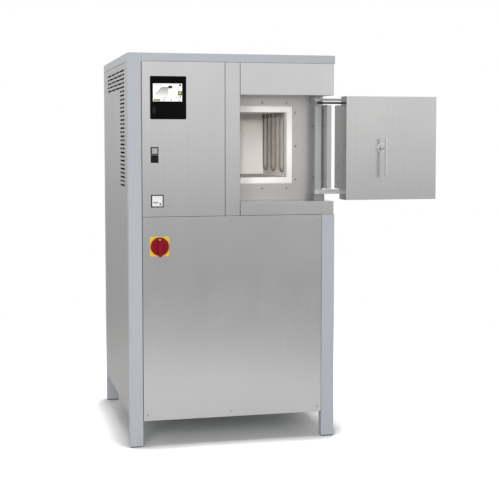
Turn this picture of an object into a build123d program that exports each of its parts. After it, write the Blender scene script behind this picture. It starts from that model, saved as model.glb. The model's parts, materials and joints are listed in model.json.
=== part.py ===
from build123d import *
import math
import os

# Floor-standing chamber furnace with a parallel-swinging door, millimetres, +Z up.
# Every x is measured from the cabinet's left side, every y from its front face backwards and
# every z from the floor. write() then moves each piece so that the origin is the centre of the
# front left foot pad, on the floor. The door stands fully open, beside the cabinet.

# ---- cabinet -------------------------------------------------------------------------------
WIDTH = 810.0
DEPTH = 850.0
HEIGHT = 1500.0
SHEET = 1.5
LIP = 18.0
GAP = 1.5
POST_WIDTH = 51.0
POST_DEPTH = 40.0
POST_WALL = 2.0
PAD_HEIGHT = 4.0
BAND_HEIGHT = 31.0
BAND_Z = HEIGHT - BAND_HEIGHT
SEAM_Z = 882.0
FRONT_PANEL_Z = 100.0
SIDE_PANEL_Z = 123.0
RAIL = 30.0
RAIL_INSET = 20.0
CONTROL_RIGHT = 371.0

# ---- door recess ---------------------------------------------------------------------------
RECESS_LEFT = 430.0
RECESS_RIGHT = 806.0
RECESS_BOTTOM = 934.0
RECESS_TOP = 1346.0
RECESS_DEPTH = 160.0
FACEPLATE_RIGHT = 756.0
COLUMN_LEFT = 788.0
COLUMN_FRONT = 32.0
COLUMN_BOTTOM = 980.0
COLUMN_TOP = 1309.0

# ---- chamber and insulation ----------------------------------------------------------------
MOUTH_LEFT = 461.0
MOUTH_RIGHT = 657.0
MOUTH_BOTTOM = 1023.0
MOUTH_TOP = 1283.0
COLLAR_BAND = 24.0
COLLAR_FRONT = 156.0
CHAMBER_FRONT = 196.0
CHAMBER_BACK = 620.0
ELEMENT_NICHE = 16.0
SIDE_INSULATION = 85.0
FLOOR_INSULATION = 100.0
ROOF_INSULATION = 110.0
BACK_INSULATION = 100.0
CASING_SHEET = 2.0
INSULATION_LEFT = MOUTH_LEFT - ELEMENT_NICHE - SIDE_INSULATION
INSULATION_RIGHT = MOUTH_RIGHT + ELEMENT_NICHE + SIDE_INSULATION
INSULATION_BOTTOM = MOUTH_BOTTOM - FLOOR_INSULATION
INSULATION_TOP = MOUTH_TOP + ROOF_INSULATION
INSULATION_BACK = CHAMBER_BACK + BACK_INSULATION
INSULATION_FRONT = RECESS_DEPTH + SHEET + 1.0

# ---- heating elements ----------------------------------------------------------------------
ELEMENTS_PER_SIDE = 3
ELEMENT_FIRST_Y = 214.0
ELEMENT_PITCH = 137.0
ELEMENT_LEG_SPACING = 68.0
ELEMENT_WIRE_RADIUS = 3.0
TERMINAL_RADIUS = 6.0
ELEMENT_BOTTOM = 1040.0
TERMINAL_START = 1265.0
TERMINAL_TOP = 1445.0
ELEMENT_FROM_MOUTH = 3.5
TERMINAL_HOLE_RADIUS = 8.0

# ---- swing linkage -------------------------------------------------------------------------
PIVOT_X = 771.0
PIVOT_Y = 103.0
ARM_LENGTH = 212.5
DOOR_TRAVEL = 2.0 * ARM_LENGTH
ARM_WIDTH = 20.0
BOSS_RADIUS = 14.0
POST_SIDE = 25.0
STUB_RADIUS = 8.0
HINGE_PIN_RADIUS = 6.0
RUNNING_CLEARANCE = 0.05
UPPER_ARM_Z = 1327.0
UPPER_ARM_THICK = 10.0
LOWER_ARM_Z = 957.0
LOWER_ARM_THICK = 17.5
SWING_POST_TOP = 1308.0
GUIDE_OFFSET = 22.0
GUIDE_Z = 1319.0
GUIDE_ROD_RADIUS = 4.0
GUIDE_EYE_RADIUS = 9.0
GUIDE_PIN_RADIUS = 4.0
OPEN_PIVOT_CLEARANCE = 0.4
GUIDE_Y = PIVOT_Y - GUIDE_OFFSET
DOOR_PIVOT_X = PIVOT_X - ARM_LENGTH

# ---- door, in its closed place -------------------------------------------------------------
DOOR_LEFT = 432.0
DOOR_RIGHT = 808.5
DOOR_BOTTOM = 936.5
DOOR_TOP = 1344.0
DOOR_FLANGE = 85.0
DOOR_LEFT_FLANGE = 152.0
DOOR_RIGHT_FLANGE = 28.0
CARRIER_LEFT = 438.0
CARRIER_RIGHT = 744.0
CARRIER_BOTTOM = 978.0
CARRIER_TOP = 1310.0
CARRIER_FRONT = 36.0
CARRIER_BACK = 148.0
PLUG_FACE = 155.3
PLUG_DEPTH = 18.0
PLUG_CLEARANCE = 3.0

# ---- door handle and latch -----------------------------------------------------------------
HANDLE_X = DOOR_LEFT + 148.0
HANDLE_Z = 1140.0
HANDLE_STANDOFF = 40.0
HANDLE_ABOVE = 40.0
HANDLE_BELOW = 115.0
HANDLE_THICK = 7.0
HANDLE_DEEP = 14.0
SHAFT_RADIUS = 5.0
ROSETTE_RADIUS = 20.0
GEAR_MODULE = 2.0
GEAR_TEETH = 8
PITCH_RADIUS = GEAR_MODULE * GEAR_TEETH / 2.0
TOOTH_PLAY = 0.5
LATCH_FRONT = 20.0
LATCH_BACK = 28.0
LATCH_HEIGHT = 12.0
LATCH_Z = HANDLE_Z + PITCH_RADIUS
LATCH_TIP_X = DOOR_LEFT + 0.4

# ---- controls on the front -----------------------------------------------------------------
CONTROLLER = (84.0, 221.0, 1251.0, 1413.0)
CONTROLLER_PROUD = 5.0
SCREEN = (94.0, 205.0, 1318.0, 1385.0)
USB_COVER = (92.0, 104.0, 1274.0, 1298.0)
USB_HINGE_Y = -CONTROLLER_PROUD - 1.5
USB_HINGE_Z = USB_COVER[2]
SWITCH_X = 99.5
INDICATOR_Z = 1132.0
ROCKER_Z = 1101.5
SWITCH_SIDE = 30.0
SWITCH_NECK = 12.0
ROCKER_AXIS_Y = 2.0
ROCKER_TILT = 8.0
ROCKER_HALF_WIDTH = 7.6
ROCKER_HALF_HEIGHT = 9.4
ROCKER_PIN_RADIUS = 1.5
ROCKER_PIN_REACH = 10.5
METER_X = 109.0
METER_Z = 942.5
METER_SIDE = 48.0
MAIN_SWITCH_X = 116.5
MAIN_SWITCH_Z = 770.0
MAIN_PLATE_SIDE = 74.0
MAIN_PLATE_THICK = 3.0
MAIN_KNOB_RADIUS = 35.0

# ---- side vents ----------------------------------------------------------------------------
SLOT_LENGTH = 135.0
SLOT_BRIDGE = 12.0
SLOT_HEIGHT = 7.0
SLOT_ROW_PITCH = 15.8
VENT_FRONT_Y = 108.0
VENT_TOP_Z = 1440.0
VENT_BLOCK_ROWS = 5
VENT_COLUMN_ROWS = 24

# ---- rear fan ------------------------------------------------------------------------------
FAN_X = 405.0
FAN_Z = 640.0
FAN_SIDE = 120.0
FAN_DEPTH = 38.0
FAN_RADIUS = 55.0
FAN_HUB_RADIUS = 20.0
FAN_BLADES = 7

# ---- cable gland, thermocouple and screws --------------------------------------------------
GLAND_X = 140.0
GLAND_Z = 200.0
GLAND_RADIUS = 16.0
THERMOCOUPLE_X = (MOUTH_LEFT + MOUTH_RIGHT) / 2
THERMOCOUPLE_Z = 1215.0
SCREW_RADIUS = 4.5
SCREW_HEIGHT = 2.2
DOOR_SCREW_HEIGHT = 1.4


# ---- shape helpers -------------------------------------------------------------------------
def block(x0, x1, y0, y1, z0, z1):
    """A box given by its six limits."""
    return Pos(x0, y0, z0) * Box(x1 - x0, y1 - y0, z1 - z0, align=(Align.MIN, Align.MIN, Align.MIN))


def rod_z(x, y, z0, z1, radius):
    """An upright round bar."""
    return Pos(x, y, z0) * Cylinder(radius, z1 - z0, align=(Align.CENTER, Align.CENTER, Align.MIN))


def rod_y(x, z, y0, y1, radius):
    """A round bar that runs from front to back."""
    return Pos(x, (y0 + y1) / 2, z) * Rot(90, 0, 0) * Cylinder(radius, y1 - y0)


def rod_x(y, z, x0, x1, radius):
    """A round bar that runs from left to right."""
    return Pos((x0 + x1) / 2, y, z) * Rot(0, 90, 0) * Cylinder(radius, x1 - x0)


def round_upright(shape, radius):
    """Rounds the upright edges of a shape."""
    return fillet(shape.edges().filter_by(Axis.Z), radius)


def tube(x0, x1, y0, y1, z0, z1, wall, radius):
    """An upright rectangular tube with rounded corners."""
    outer = round_upright(block(x0, x1, y0, y1, z0, z1), radius)
    return outer - block(x0 + wall, x1 - wall, y0 + wall, y1 - wall, z0 - 1, z1 + 1)


def front_tray(x0, x1, z0, z1, depth=LIP):
    """A front panel: a sheet folded back along all four sides, with bent outer edges."""
    outer = block(x0, x1, 0, depth, z0, z1)
    outer = fillet(outer.edges().group_by(Axis.Y)[0], SHEET * 0.8)
    return outer - block(x0 + SHEET, x1 - SHEET, SHEET, depth + 1, z0 + SHEET, z1 - SHEET)


def group(pieces):
    """Several separate solids in one node."""
    return Compound(children=[solid for piece in pieces for solid in piece.solids()])


def screw_front(x, z, y=0.0):
    """A low round screw head that stands forward of a face at depth y."""
    return rod_y(x, z, y - SCREW_HEIGHT, y, SCREW_RADIUS)


def screw_side(y, z, x, outward, height=SCREW_HEIGHT):
    """A low round screw head on a side face; outward is -1 to the left and 1 to the right."""
    ends = sorted((x, x + outward * height))
    return rod_x(y, z, ends[0], ends[1], SCREW_RADIUS)


# ---- frame ---------------------------------------------------------------------------------
def foot_pads():
    inset = 2.0
    pads = []
    for x in (0, WIDTH - POST_WIDTH):
        for y in (0, DEPTH - POST_DEPTH):
            pad = block(x + inset, x + POST_WIDTH - inset, y + inset, y + POST_DEPTH - inset, 0, PAD_HEIGHT)
            pads.append(round_upright(pad, 4))
    return group(pads)


def corner_post(x, y, top):
    """A box-section leg with a closed foot plate, which runs from its pad to the given height."""
    leg = tube(x, x + POST_WIDTH, y, y + POST_DEPTH, PAD_HEIGHT, top, POST_WALL, 3)
    wall = POST_WALL
    foot = block(x + wall, x + POST_WIDTH - wall, y + wall, y + POST_DEPTH - wall,
                 PAD_HEIGHT, PAD_HEIGHT + wall)
    return leg + foot


def front_left_post():
    return corner_post(0, 0, BAND_Z)


def front_right_post():
    cap = block(WIDTH - POST_WIDTH + POST_WALL, WIDTH - POST_WALL, POST_WALL, POST_DEPTH - POST_WALL,
                SEAM_Z - POST_WALL, SEAM_Z)
    return corner_post(WIDTH - POST_WIDTH, 0, SEAM_Z) + cap


def rear_posts():
    rear = DEPTH - POST_DEPTH
    return group([corner_post(0, rear, BAND_Z), corner_post(WIDTH - POST_WIDTH, rear, BAND_Z)])


def top_frame():
    """The folded band round the top: a skirt with an inward flange that the roof lies under."""
    flange = 40.0
    wall = 2.0
    band = round_upright(block(0, WIDTH, 0, DEPTH, BAND_Z, HEIGHT), 3)
    band = fillet(band.edges().group_by(Axis.Z)[-1], 1.5)
    band -= block(wall, WIDTH - wall, wall, DEPTH - wall, BAND_Z - 1, HEIGHT - wall)
    return band - block(flange, WIDTH - flange, flange, DEPTH - flange, BAND_Z, HEIGHT + 1)


def roof_panel():
    """The roof sheet, sunk under the band, with two banks of outlet slots over the terminals."""
    top = HEIGHT - 2.0
    sheet = block(6, WIDTH - 6, 6, DEPTH - 6, top - SHEET, top)
    for bank_x in (450.0, 680.0):
        for row in range(9):
            y = 240.0 + row * 40.0
            sheet -= block(bank_x - 60, bank_x + 60, y, y + 9, top - 3, top + 1)
    return sheet


def ring_rails(z):
    """Four square rails between the corner posts at one height."""
    near = RAIL_INSET
    far = RAIL_INSET + RAIL
    rails = []
    for y in (near, DEPTH - far):
        rails.append(block(POST_WIDTH, WIDTH - POST_WIDTH, y, y + RAIL, z, z + RAIL))
    for x in (near, WIDTH - far):
        rails.append(block(x, x + RAIL, POST_DEPTH, DEPTH - POST_DEPTH, z, z + RAIL))
    return rails


def inner_frame():
    """Rails, bearers and uprights that join the posts and carry the chamber."""
    bearer_z = SEAM_Z - RAIL - 2
    casing_bottom = INSULATION_BOTTOM - CASING_SHEET
    side_rail = RAIL_INSET + RAIL
    pieces = ring_rails(FRONT_PANEL_Z + 3) + ring_rails(bearer_z)
    for y in (230.0, 620.0):
        pieces.append(block(side_rail, WIDTH - side_rail, y, y + RAIL, bearer_z, bearer_z + RAIL))
    for x in (INSULATION_LEFT + 30, INSULATION_RIGHT - 60):
        pieces.append(block(x, x + RAIL, 180, 680, bearer_z + RAIL, casing_bottom))
    upright_top = BAND_Z - GAP - SHEET
    pieces.append(block(774, 804, 166, 196, bearer_z + RAIL, upright_top))
    pieces.append(block(378, 408, RAIL_INSET, RAIL_INSET + RAIL, bearer_z + RAIL, upright_top))
    return group(pieces)


def base_tray():
    """The floor sheet of the lower compartment, folded up along its edges, with air slots."""
    z0 = FRONT_PANEL_Z + 3 + RAIL
    tray = block(54, WIDTH - 54, 54, DEPTH - 54, z0, z0 + 12)
    tray -= block(54 + SHEET, WIDTH - 54 - SHEET, 54 + SHEET, DEPTH - 54 - SHEET, z0 + SHEET, z0 + 13)
    for row in range(5):
        y = 120.0 + row * 30.0
        tray -= block(120, 280, y, y + 8, z0 - 1, z0 + 3)
    return tray


# ---- outer panels --------------------------------------------------------------------------
def slot_cutter(y, z, length, x0, x1):
    """One round-ended vent slot through a side panel, its front end at y."""
    cutter = block(x0, x1, y, y + length, z - SLOT_HEIGHT / 2, z + SLOT_HEIGHT / 2)
    return fillet(cutter.edges().filter_by(Axis.X), SLOT_HEIGHT / 2 - 0.05)


def vent_row(row, whole_slots):
    """The slots of one row as (start, length) pairs; odd rows begin and end with a half slot."""
    half = (SLOT_LENGTH - SLOT_BRIDGE) / 2
    step = SLOT_LENGTH + SLOT_BRIDGE
    if row % 2 == 0:
        return [(index * step, SLOT_LENGTH) for index in range(whole_slots)]
    slots = [(0.0, half)]
    slots += [(half + SLOT_BRIDGE + index * step, SLOT_LENGTH) for index in range(whole_slots - 1)]
    slots.append((whole_slots * step - SLOT_BRIDGE - half, half))
    return slots


def vent_cutters(x0, x1, column_rows):
    """A wide block of staggered rows at the top and a narrow column of rows below its front end."""
    cutters = []
    for row in range(VENT_BLOCK_ROWS + column_rows):
        whole = 4 if row < VENT_BLOCK_ROWS else 1
        z = VENT_TOP_Z - row * SLOT_ROW_PITCH
        for start, length in vent_row(row, whole):
            cutters.append(slot_cutter(VENT_FRONT_Y + start, z, length, x0, x1))
    return cutters


def left_side_panel():
    y0 = POST_DEPTH + GAP
    y1 = DEPTH - POST_DEPTH - GAP
    panel = block(0, LIP, y0, y1, SIDE_PANEL_Z, BAND_Z - GAP)
    panel = fillet(panel.edges().group_by(Axis.X)[0], SHEET * 0.8)
    panel -= block(SHEET, LIP + 1, y0 + SHEET, y1 - SHEET, SIDE_PANEL_Z + SHEET, BAND_Z - GAP - SHEET)
    return panel - vent_cutters(-1, SHEET + 1, VENT_COLUMN_ROWS)


def right_side_panel():
    """The right side: full depth below the seam, and cut back behind the door recess above it."""
    y0 = POST_DEPTH + GAP
    y1 = DEPTH - POST_DEPTH - GAP
    back = RECESS_DEPTH + 4
    top = BAND_Z - GAP
    inside = WIDTH - LIP - 1
    panel = block(WIDTH - LIP, WIDTH, y0, y1, SIDE_PANEL_Z, SEAM_Z)
    panel += block(WIDTH - LIP, WIDTH, back, y1, SEAM_Z, top)
    panel -= block(inside, WIDTH - SHEET, y0 + SHEET, y1 - SHEET, SIDE_PANEL_Z + SHEET, SEAM_Z - SHEET)
    panel -= block(inside, WIDTH - SHEET, back + SHEET, y1 - SHEET, SEAM_Z - 2 * SHEET, top - SHEET)
    cutters = []
    for row in range(VENT_BLOCK_ROWS):
        for start, length in vent_row(row, 3):
            z = VENT_TOP_Z - row * SLOT_ROW_PITCH
            cutters.append(slot_cutter(back + 60 + start, z, length, WIDTH - SHEET - 1, WIDTH + 1))
    return panel - cutters


def rear_panel():
    """The rear sheet, folded forward at its edges, with fan slots and the gland hole."""
    x0 = POST_WIDTH + GAP
    x1 = WIDTH - POST_WIDTH - GAP
    top = BAND_Z - GAP
    panel = block(x0, x1, DEPTH - LIP, DEPTH, SIDE_PANEL_Z, top)
    panel = fillet(panel.edges().group_by(Axis.Y)[-1], SHEET * 0.8)
    panel -= block(x0 + SHEET, x1 - SHEET, DEPTH - LIP - 1, DEPTH - SHEET, SIDE_PANEL_Z + SHEET, top - SHEET)
    for row in range(-4, 5):
        z = FAN_Z + row * 11.5
        half = math.sqrt(FAN_RADIUS ** 2 - (row * 11.5) ** 2)
        panel -= block(FAN_X - half, FAN_X + half, DEPTH - 3, DEPTH + 1, z - 3.5, z + 3.5)
    for row in range(6):
        z = 1330.0 + row * 18.0
        panel -= block(230, 580, DEPTH - 3, DEPTH + 1, z, z + 7)
    return panel - rod_y(GLAND_X, GLAND_Z, DEPTH - 3, DEPTH + 1, GLAND_RADIUS)


def lower_front_panel():
    panel = front_tray(POST_WIDTH + GAP, WIDTH - POST_WIDTH - GAP, FRONT_PANEL_Z, SEAM_Z - GAP / 2)
    return panel - rod_y(MAIN_SWITCH_X, MAIN_SWITCH_Z, -1, 3, 11)


def control_panel():
    """The control panel, with cut-outs for the controller, the two switches and the hour meter."""
    x0, x1, z0, z1 = CONTROLLER
    edge = 7.0
    bottom = SEAM_Z + GAP / 2
    panel = front_tray(POST_WIDTH + GAP, CONTROL_RIGHT, bottom, BAND_Z - GAP / 2)
    panel -= block(x0 + edge, x1 - edge, -1, 3, z0 + edge, z1 - edge)
    neck = SWITCH_NECK + 0.3
    for z in (INDICATOR_Z, ROCKER_Z):
        panel -= block(SWITCH_X - neck, SWITCH_X + neck, -1, 3, z - neck, z + neck)
    meter = METER_SIDE / 2 - 2
    return panel - block(METER_X - meter, METER_X + meter, -1, 3, METER_Z - meter, METER_Z + meter)


def column_panel():
    """The narrow upright panel between the controls and the recess, folded back as its left wall."""
    x0 = CONTROL_RIGHT + GAP
    z0 = SEAM_Z + GAP / 2
    z1 = BAND_Z - GAP / 2
    panel = front_tray(x0, RECESS_LEFT, z0, z1)
    wall = block(RECESS_LEFT - SHEET, RECESS_LEFT, SHEET, RECESS_DEPTH, z0, z1)
    slot = block(RECESS_LEFT - SHEET - 1, RECESS_LEFT + 1, LATCH_FRONT - 1, LATCH_BACK + 1,
                 LATCH_Z - 1, LATCH_Z + LATCH_HEIGHT + 1)
    return panel + wall - slot


def header_panel():
    """The panel over the recess, whose folded underside is the recess ceiling."""
    x0 = RECESS_LEFT + GAP
    z1 = BAND_Z - GAP / 2
    panel = front_tray(x0, RECESS_RIGHT, RECESS_TOP, z1)
    panel += block(x0, RECESS_RIGHT, SHEET, RECESS_DEPTH, RECESS_TOP, RECESS_TOP + SHEET)
    panel += block(RECESS_RIGHT - SHEET, RECESS_RIGHT, SHEET, RECESS_DEPTH, RECESS_TOP, z1)
    return panel - rod_z(PIVOT_X, PIVOT_Y, RECESS_TOP - 1, RECESS_TOP + 3, STUB_RADIUS + 3)


def sill_panel():
    """The panel under the recess, whose folded top is the recess floor."""
    x0 = RECESS_LEFT + GAP
    z0 = SEAM_Z + GAP / 2
    panel = front_tray(x0, RECESS_RIGHT, z0, RECESS_BOTTOM)
    panel += block(x0, RECESS_RIGHT, SHEET, RECESS_DEPTH, RECESS_BOTTOM - SHEET, RECESS_BOTTOM)
    return panel + block(RECESS_RIGHT - SHEET, RECESS_RIGHT, SHEET, RECESS_DEPTH, z0, RECESS_BOTTOM)


# ---- recess --------------------------------------------------------------------------------
def collar_limits():
    band = COLLAR_BAND
    return (MOUTH_LEFT - band, MOUTH_RIGHT + band, MOUTH_BOTTOM - band, MOUTH_TOP + band)


def recess_faceplate():
    """The steel plate round the chamber mouth."""
    x0, x1, z0, z1 = collar_limits()
    play = 1.5
    plate = block(RECESS_LEFT + GAP, FACEPLATE_RIGHT, RECESS_DEPTH, RECESS_DEPTH + SHEET,
                  RECESS_BOTTOM, RECESS_TOP)
    return plate - block(x0 - play, x1 + play, RECESS_DEPTH - 1, RECESS_DEPTH + 3, z0 - play, z1 + play)


def hinge_column():
    """The folded column at the recess's right edge, its corner strip and the guide rod's bracket."""
    column = block(COLUMN_LEFT, RECESS_RIGHT, COLUMN_FRONT, RECESS_DEPTH, COLUMN_BOTTOM, COLUMN_TOP)
    column = fillet(column.edges().filter_by(Axis.Z).group_by(Axis.Y)[0], 2)
    column -= block(COLUMN_LEFT + SHEET, RECESS_RIGHT - SHEET, COLUMN_FRONT + SHEET, RECESS_DEPTH + 1,
                    COLUMN_BOTTOM + SHEET, COLUMN_TOP - SHEET)
    strip = block(FACEPLATE_RIGHT + 1, RECESS_RIGHT, RECESS_DEPTH, RECESS_DEPTH + SHEET,
                  RECESS_BOTTOM, RECESS_TOP)
    bracket = block(PIVOT_X - 11, RECESS_RIGHT - 4, GUIDE_Y - 11, GUIDE_Y + 11, COLUMN_TOP, COLUMN_TOP + 3)
    bracket = fillet(bracket.edges().filter_by(Axis.Z).group_by(Axis.X)[0], 9)
    pin = rod_z(PIVOT_X, GUIDE_Y, COLUMN_TOP + 3, GUIDE_Z + 6, GUIDE_PIN_RADIUS)
    return group([column + bracket + pin, strip])


def hinge_bearings():
    """The bearing blocks that hold the swing post's stubs, below and above."""
    bore = STUB_RADIUS + RUNNING_CLEARANCE
    lower = round_upright(block(PIVOT_X - 19, PIVOT_X + 25, 88, 120, RECESS_BOTTOM, LOWER_ARM_Z - 0.5), 4)
    lower -= rod_z(PIVOT_X, PIVOT_Y, RECESS_BOTTOM - 1, LOWER_ARM_Z, bore)
    ceiling = RECESS_TOP + SHEET
    upper = round_upright(block(PIVOT_X - 20, PIVOT_X + 20, 84, 122, ceiling, ceiling + 18), 4)
    upper -= rod_z(PIVOT_X, PIVOT_Y, ceiling - 1, ceiling + 20, bore)
    return group([lower, upper])


def latch_keeper():
    """The slotted block behind the recess's left wall that the latch bar enters."""
    x1 = RECESS_LEFT - SHEET
    top = LATCH_Z + LATCH_HEIGHT
    keeper = block(x1 - 10, x1, LATCH_FRONT - 12, LATCH_BACK + 12, LATCH_Z - 14, top + 14)
    return keeper - block(x1 - 11, x1 + 1, LATCH_FRONT - 1, LATCH_BACK + 1, LATCH_Z - 1, top + 1)


# ---- chamber -------------------------------------------------------------------------------
def fibre_collar():
    """The white fibre ring round the chamber mouth, with eased mouth edges."""
    x0, x1, z0, z1 = collar_limits()
    ring = block(x0, x1, COLLAR_FRONT, CHAMBER_FRONT, z0, z1)
    mouth = block(MOUTH_LEFT, MOUTH_RIGHT, COLLAR_FRONT - 1, CHAMBER_FRONT + 1, MOUTH_BOTTOM, MOUTH_TOP)
    mouth = fillet(mouth.edges().filter_by(Axis.Y), 3)
    ring = chamfer(ring.edges().group_by(Axis.Y)[0], 1.5)
    return ring - mouth


def front_insulation():
    """The fibre ring that the collar is set into."""
    x0, x1, z0, z1 = collar_limits()
    ring = block(INSULATION_LEFT, INSULATION_RIGHT, INSULATION_FRONT, CHAMBER_FRONT,
                 INSULATION_BOTTOM, INSULATION_TOP)
    return ring - block(x0, x1, 0, CHAMBER_FRONT + 1, z0, z1)


def chamber_sides():
    return MOUTH_LEFT - ELEMENT_NICHE, MOUTH_RIGHT + ELEMENT_NICHE


def floor_slab():
    x0, x1 = chamber_sides()
    return block(x0, x1, CHAMBER_FRONT, CHAMBER_BACK, INSULATION_BOTTOM, MOUTH_BOTTOM)


def element_places():
    """(x, y of the front leg) of every hanging element."""
    places = []
    for x in (MOUTH_LEFT - ELEMENT_FROM_MOUTH, MOUTH_RIGHT + ELEMENT_FROM_MOUTH):
        for index in range(ELEMENTS_PER_SIDE):
            places.append((x, ELEMENT_FIRST_Y + index * ELEMENT_PITCH))
    return places


def terminal_places():
    """(x, y) of every element leg where it passes through the roof."""
    return [(x, y + leg) for x, y in element_places() for leg in (0.0, ELEMENT_LEG_SPACING)]


def roof_slab():
    """The fibre roof, with a hole for every element leg."""
    x0, x1 = chamber_sides()
    slab = block(x0, x1, CHAMBER_FRONT, CHAMBER_BACK, MOUTH_TOP, INSULATION_TOP)
    holes = [rod_z(x, y, MOUTH_TOP - 1, INSULATION_TOP + 1, TERMINAL_HOLE_RADIUS)
             for x, y in terminal_places()]
    return slab - holes


def wall_slabs():
    """The two side walls and the rear wall of the chamber."""
    x0, x1 = chamber_sides()
    left = block(INSULATION_LEFT, x0, CHAMBER_FRONT, CHAMBER_BACK, INSULATION_BOTTOM, INSULATION_TOP)
    right = block(x1, INSULATION_RIGHT, CHAMBER_FRONT, CHAMBER_BACK, INSULATION_BOTTOM, INSULATION_TOP)
    rear = block(INSULATION_LEFT, INSULATION_RIGHT, CHAMBER_BACK, INSULATION_BACK,
                 INSULATION_BOTTOM, INSULATION_TOP)
    rear -= rod_y(THERMOCOUPLE_X, THERMOCOUPLE_Z, CHAMBER_BACK - 1, INSULATION_BACK + 1, 7)
    return group([left, right, rear])


def inner_casing():
    """The steel box round the insulation, open at the front and at the top."""
    wall = CASING_SHEET
    box = block(INSULATION_LEFT - wall, INSULATION_RIGHT + wall, INSULATION_FRONT, INSULATION_BACK + wall,
                INSULATION_BOTTOM - wall, INSULATION_TOP)
    box -= block(INSULATION_LEFT, INSULATION_RIGHT, 0, INSULATION_BACK, INSULATION_BOTTOM, INSULATION_TOP + 1)
    return box - rod_y(THERMOCOUPLE_X, THERMOCOUPLE_Z, INSULATION_BACK - 1, INSULATION_BACK + 3, 7)


def heating_element(x, y):
    """One hanging U: two thin legs joined by a half round, with thick terminals at the roof."""
    bend = ELEMENT_LEG_SPACING / 2
    bend_z = ELEMENT_BOTTOM + ELEMENT_WIRE_RADIUS + bend
    profile = Pos(x, y, bend_z) * Circle(ELEMENT_WIRE_RADIUS)
    axis = Axis((x, y + bend, bend_z), (1, 0, 0))
    element = revolve(profile, axis, 180)
    if element.bounding_box().max.Z > bend_z + ELEMENT_WIRE_RADIUS:
        element = revolve(profile, axis, -180)
    for leg_y in (y, y + ELEMENT_LEG_SPACING):
        element += rod_z(x, leg_y, bend_z, TERMINAL_START, ELEMENT_WIRE_RADIUS)
        element += rod_z(x, leg_y, TERMINAL_START, TERMINAL_TOP, TERMINAL_RADIUS)
    return element


def heating_elements():
    return group([heating_element(x, y) for x, y in element_places()])


def element_holders():
    """Ceramic plugs that seat on the roof slab round each terminal, with steel clamps above."""
    pieces = []
    for x, y in terminal_places():
        plug = rod_z(x, y, INSULATION_TOP, INSULATION_TOP + 18, 13)
        plug -= rod_z(x, y, INSULATION_TOP - 1, INSULATION_TOP + 19, TERMINAL_RADIUS + 0.1)
        pieces.append(plug)
    return group(pieces)


def busbars():
    """Aluminium straps that join each element to its neighbour in series, and two feed straps."""
    z0 = TERMINAL_TOP - 22
    z1 = TERMINAL_TOP - 6
    half = TERMINAL_RADIUS + 4
    pieces = []
    for side in (0, 1):
        places = terminal_places()[side * 2 * ELEMENTS_PER_SIDE:(side + 1) * 2 * ELEMENTS_PER_SIDE]
        x = places[0][0]
        ends = [y for _, y in places]
        for index in range(1, len(ends) - 1, 2):
            pieces.append(block(x - half, x + half, ends[index] - half, ends[index + 1] + half, z0, z1))
        pieces.append(block(x - half, x + half, ends[0] - half, ends[0] + half, z0, z1))
        pieces.append(block(x - half, x + half, ends[-1] - half, ends[-1] + 90, z0, z1))
    holes = [rod_z(x, y, z0 - 1, z1 + 1, TERMINAL_RADIUS + 0.1) for x, y in terminal_places()]
    return group([piece - holes for piece in pieces])


def thermocouple():
    """A ceramic sheath through the rear wall, with its connection head behind the casing."""
    x = THERMOCOUPLE_X
    z = THERMOCOUPLE_Z
    behind = INSULATION_BACK + CASING_SHEET
    sheath = rod_y(x, z, CHAMBER_BACK - 45, behind + 12, 5)
    flange = rod_y(x, z, behind, behind + 4, 18)
    head = rod_y(x, z, behind + 12, behind + 52, 24)
    cap = rod_y(x, z, behind + 52, behind + 60, 27)
    return sheath + flange + head + cap


# ---- electrical parts ----------------------------------------------------------------------
def transformer():
    """A three-limb transformer: laminated core, two yokes clamped by angles, three coils."""
    x0, y0, z0 = 330.0, 380.0, FRONT_PANEL_Z + 3 + RAIL + SHEET
    width, depth, height = 330.0, 110.0, 290.0
    limb = 50.0
    base = 24.0
    pieces = []
    core = block(x0, x0 + width, y0, y0 + depth, z0 + base, z0 + base + height)
    window = (width - 3 * limb) / 2
    for index in range(2):
        wx = x0 + limb + index * (limb + window)
        core -= block(wx, wx + window, y0 - 1, y0 + depth + 1, z0 + base + limb, z0 + base + height - limb)
    pieces.append(core)
    for index in range(3):
        cx = x0 + limb / 2 + index * (limb + window)
        grow = window / 2 - 4
        coil = block(cx - limb / 2 - grow, cx + limb / 2 + grow, y0 - 34, y0 + depth + 34,
                     z0 + base + limb + 6, z0 + base + height - limb - 6)
        coil = round_upright(coil, 22)
        coil -= block(cx - limb / 2, cx + limb / 2, y0, y0 + depth, z0, z0 + base + height)
        pieces.append(coil)
    for y in (y0 - 30, y0 + depth):
        pieces.append(block(x0 - 10, x0 + width + 10, y, y + 30, z0, z0 + base))
    return group(pieces)


def power_controller():
    """The thyristor unit: a finned heat sink upright behind a plain cover."""
    x0, y0, z0 = 110.0, 520.0, 300.0
    width, depth, height = 110.0, 60.0, 240.0
    unit = block(x0, x0 + width, y0, y0 + 90, z0, z0 + height)
    unit = round_upright(unit, 4)
    sink = block(x0, x0 + width, y0 + 90, y0 + 100, z0, z0 + height)
    for index in range(9):
        x = x0 + index * (width - 4) / 8
        sink += block(x, x + 4, y0 + 100, y0 + 100 + depth, z0, z0 + height)
    bracket = block(x0 - 10, x0 + width + 10, y0 + 20, y0 + 60, z0 - 6, z0)
    leg = block(x0 + 10, x0 + width - 10, y0 + 36, y0 + 44, FRONT_PANEL_Z + 3 + RAIL + SHEET, z0 - 6)
    return group([unit, sink, bracket + leg])


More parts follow.
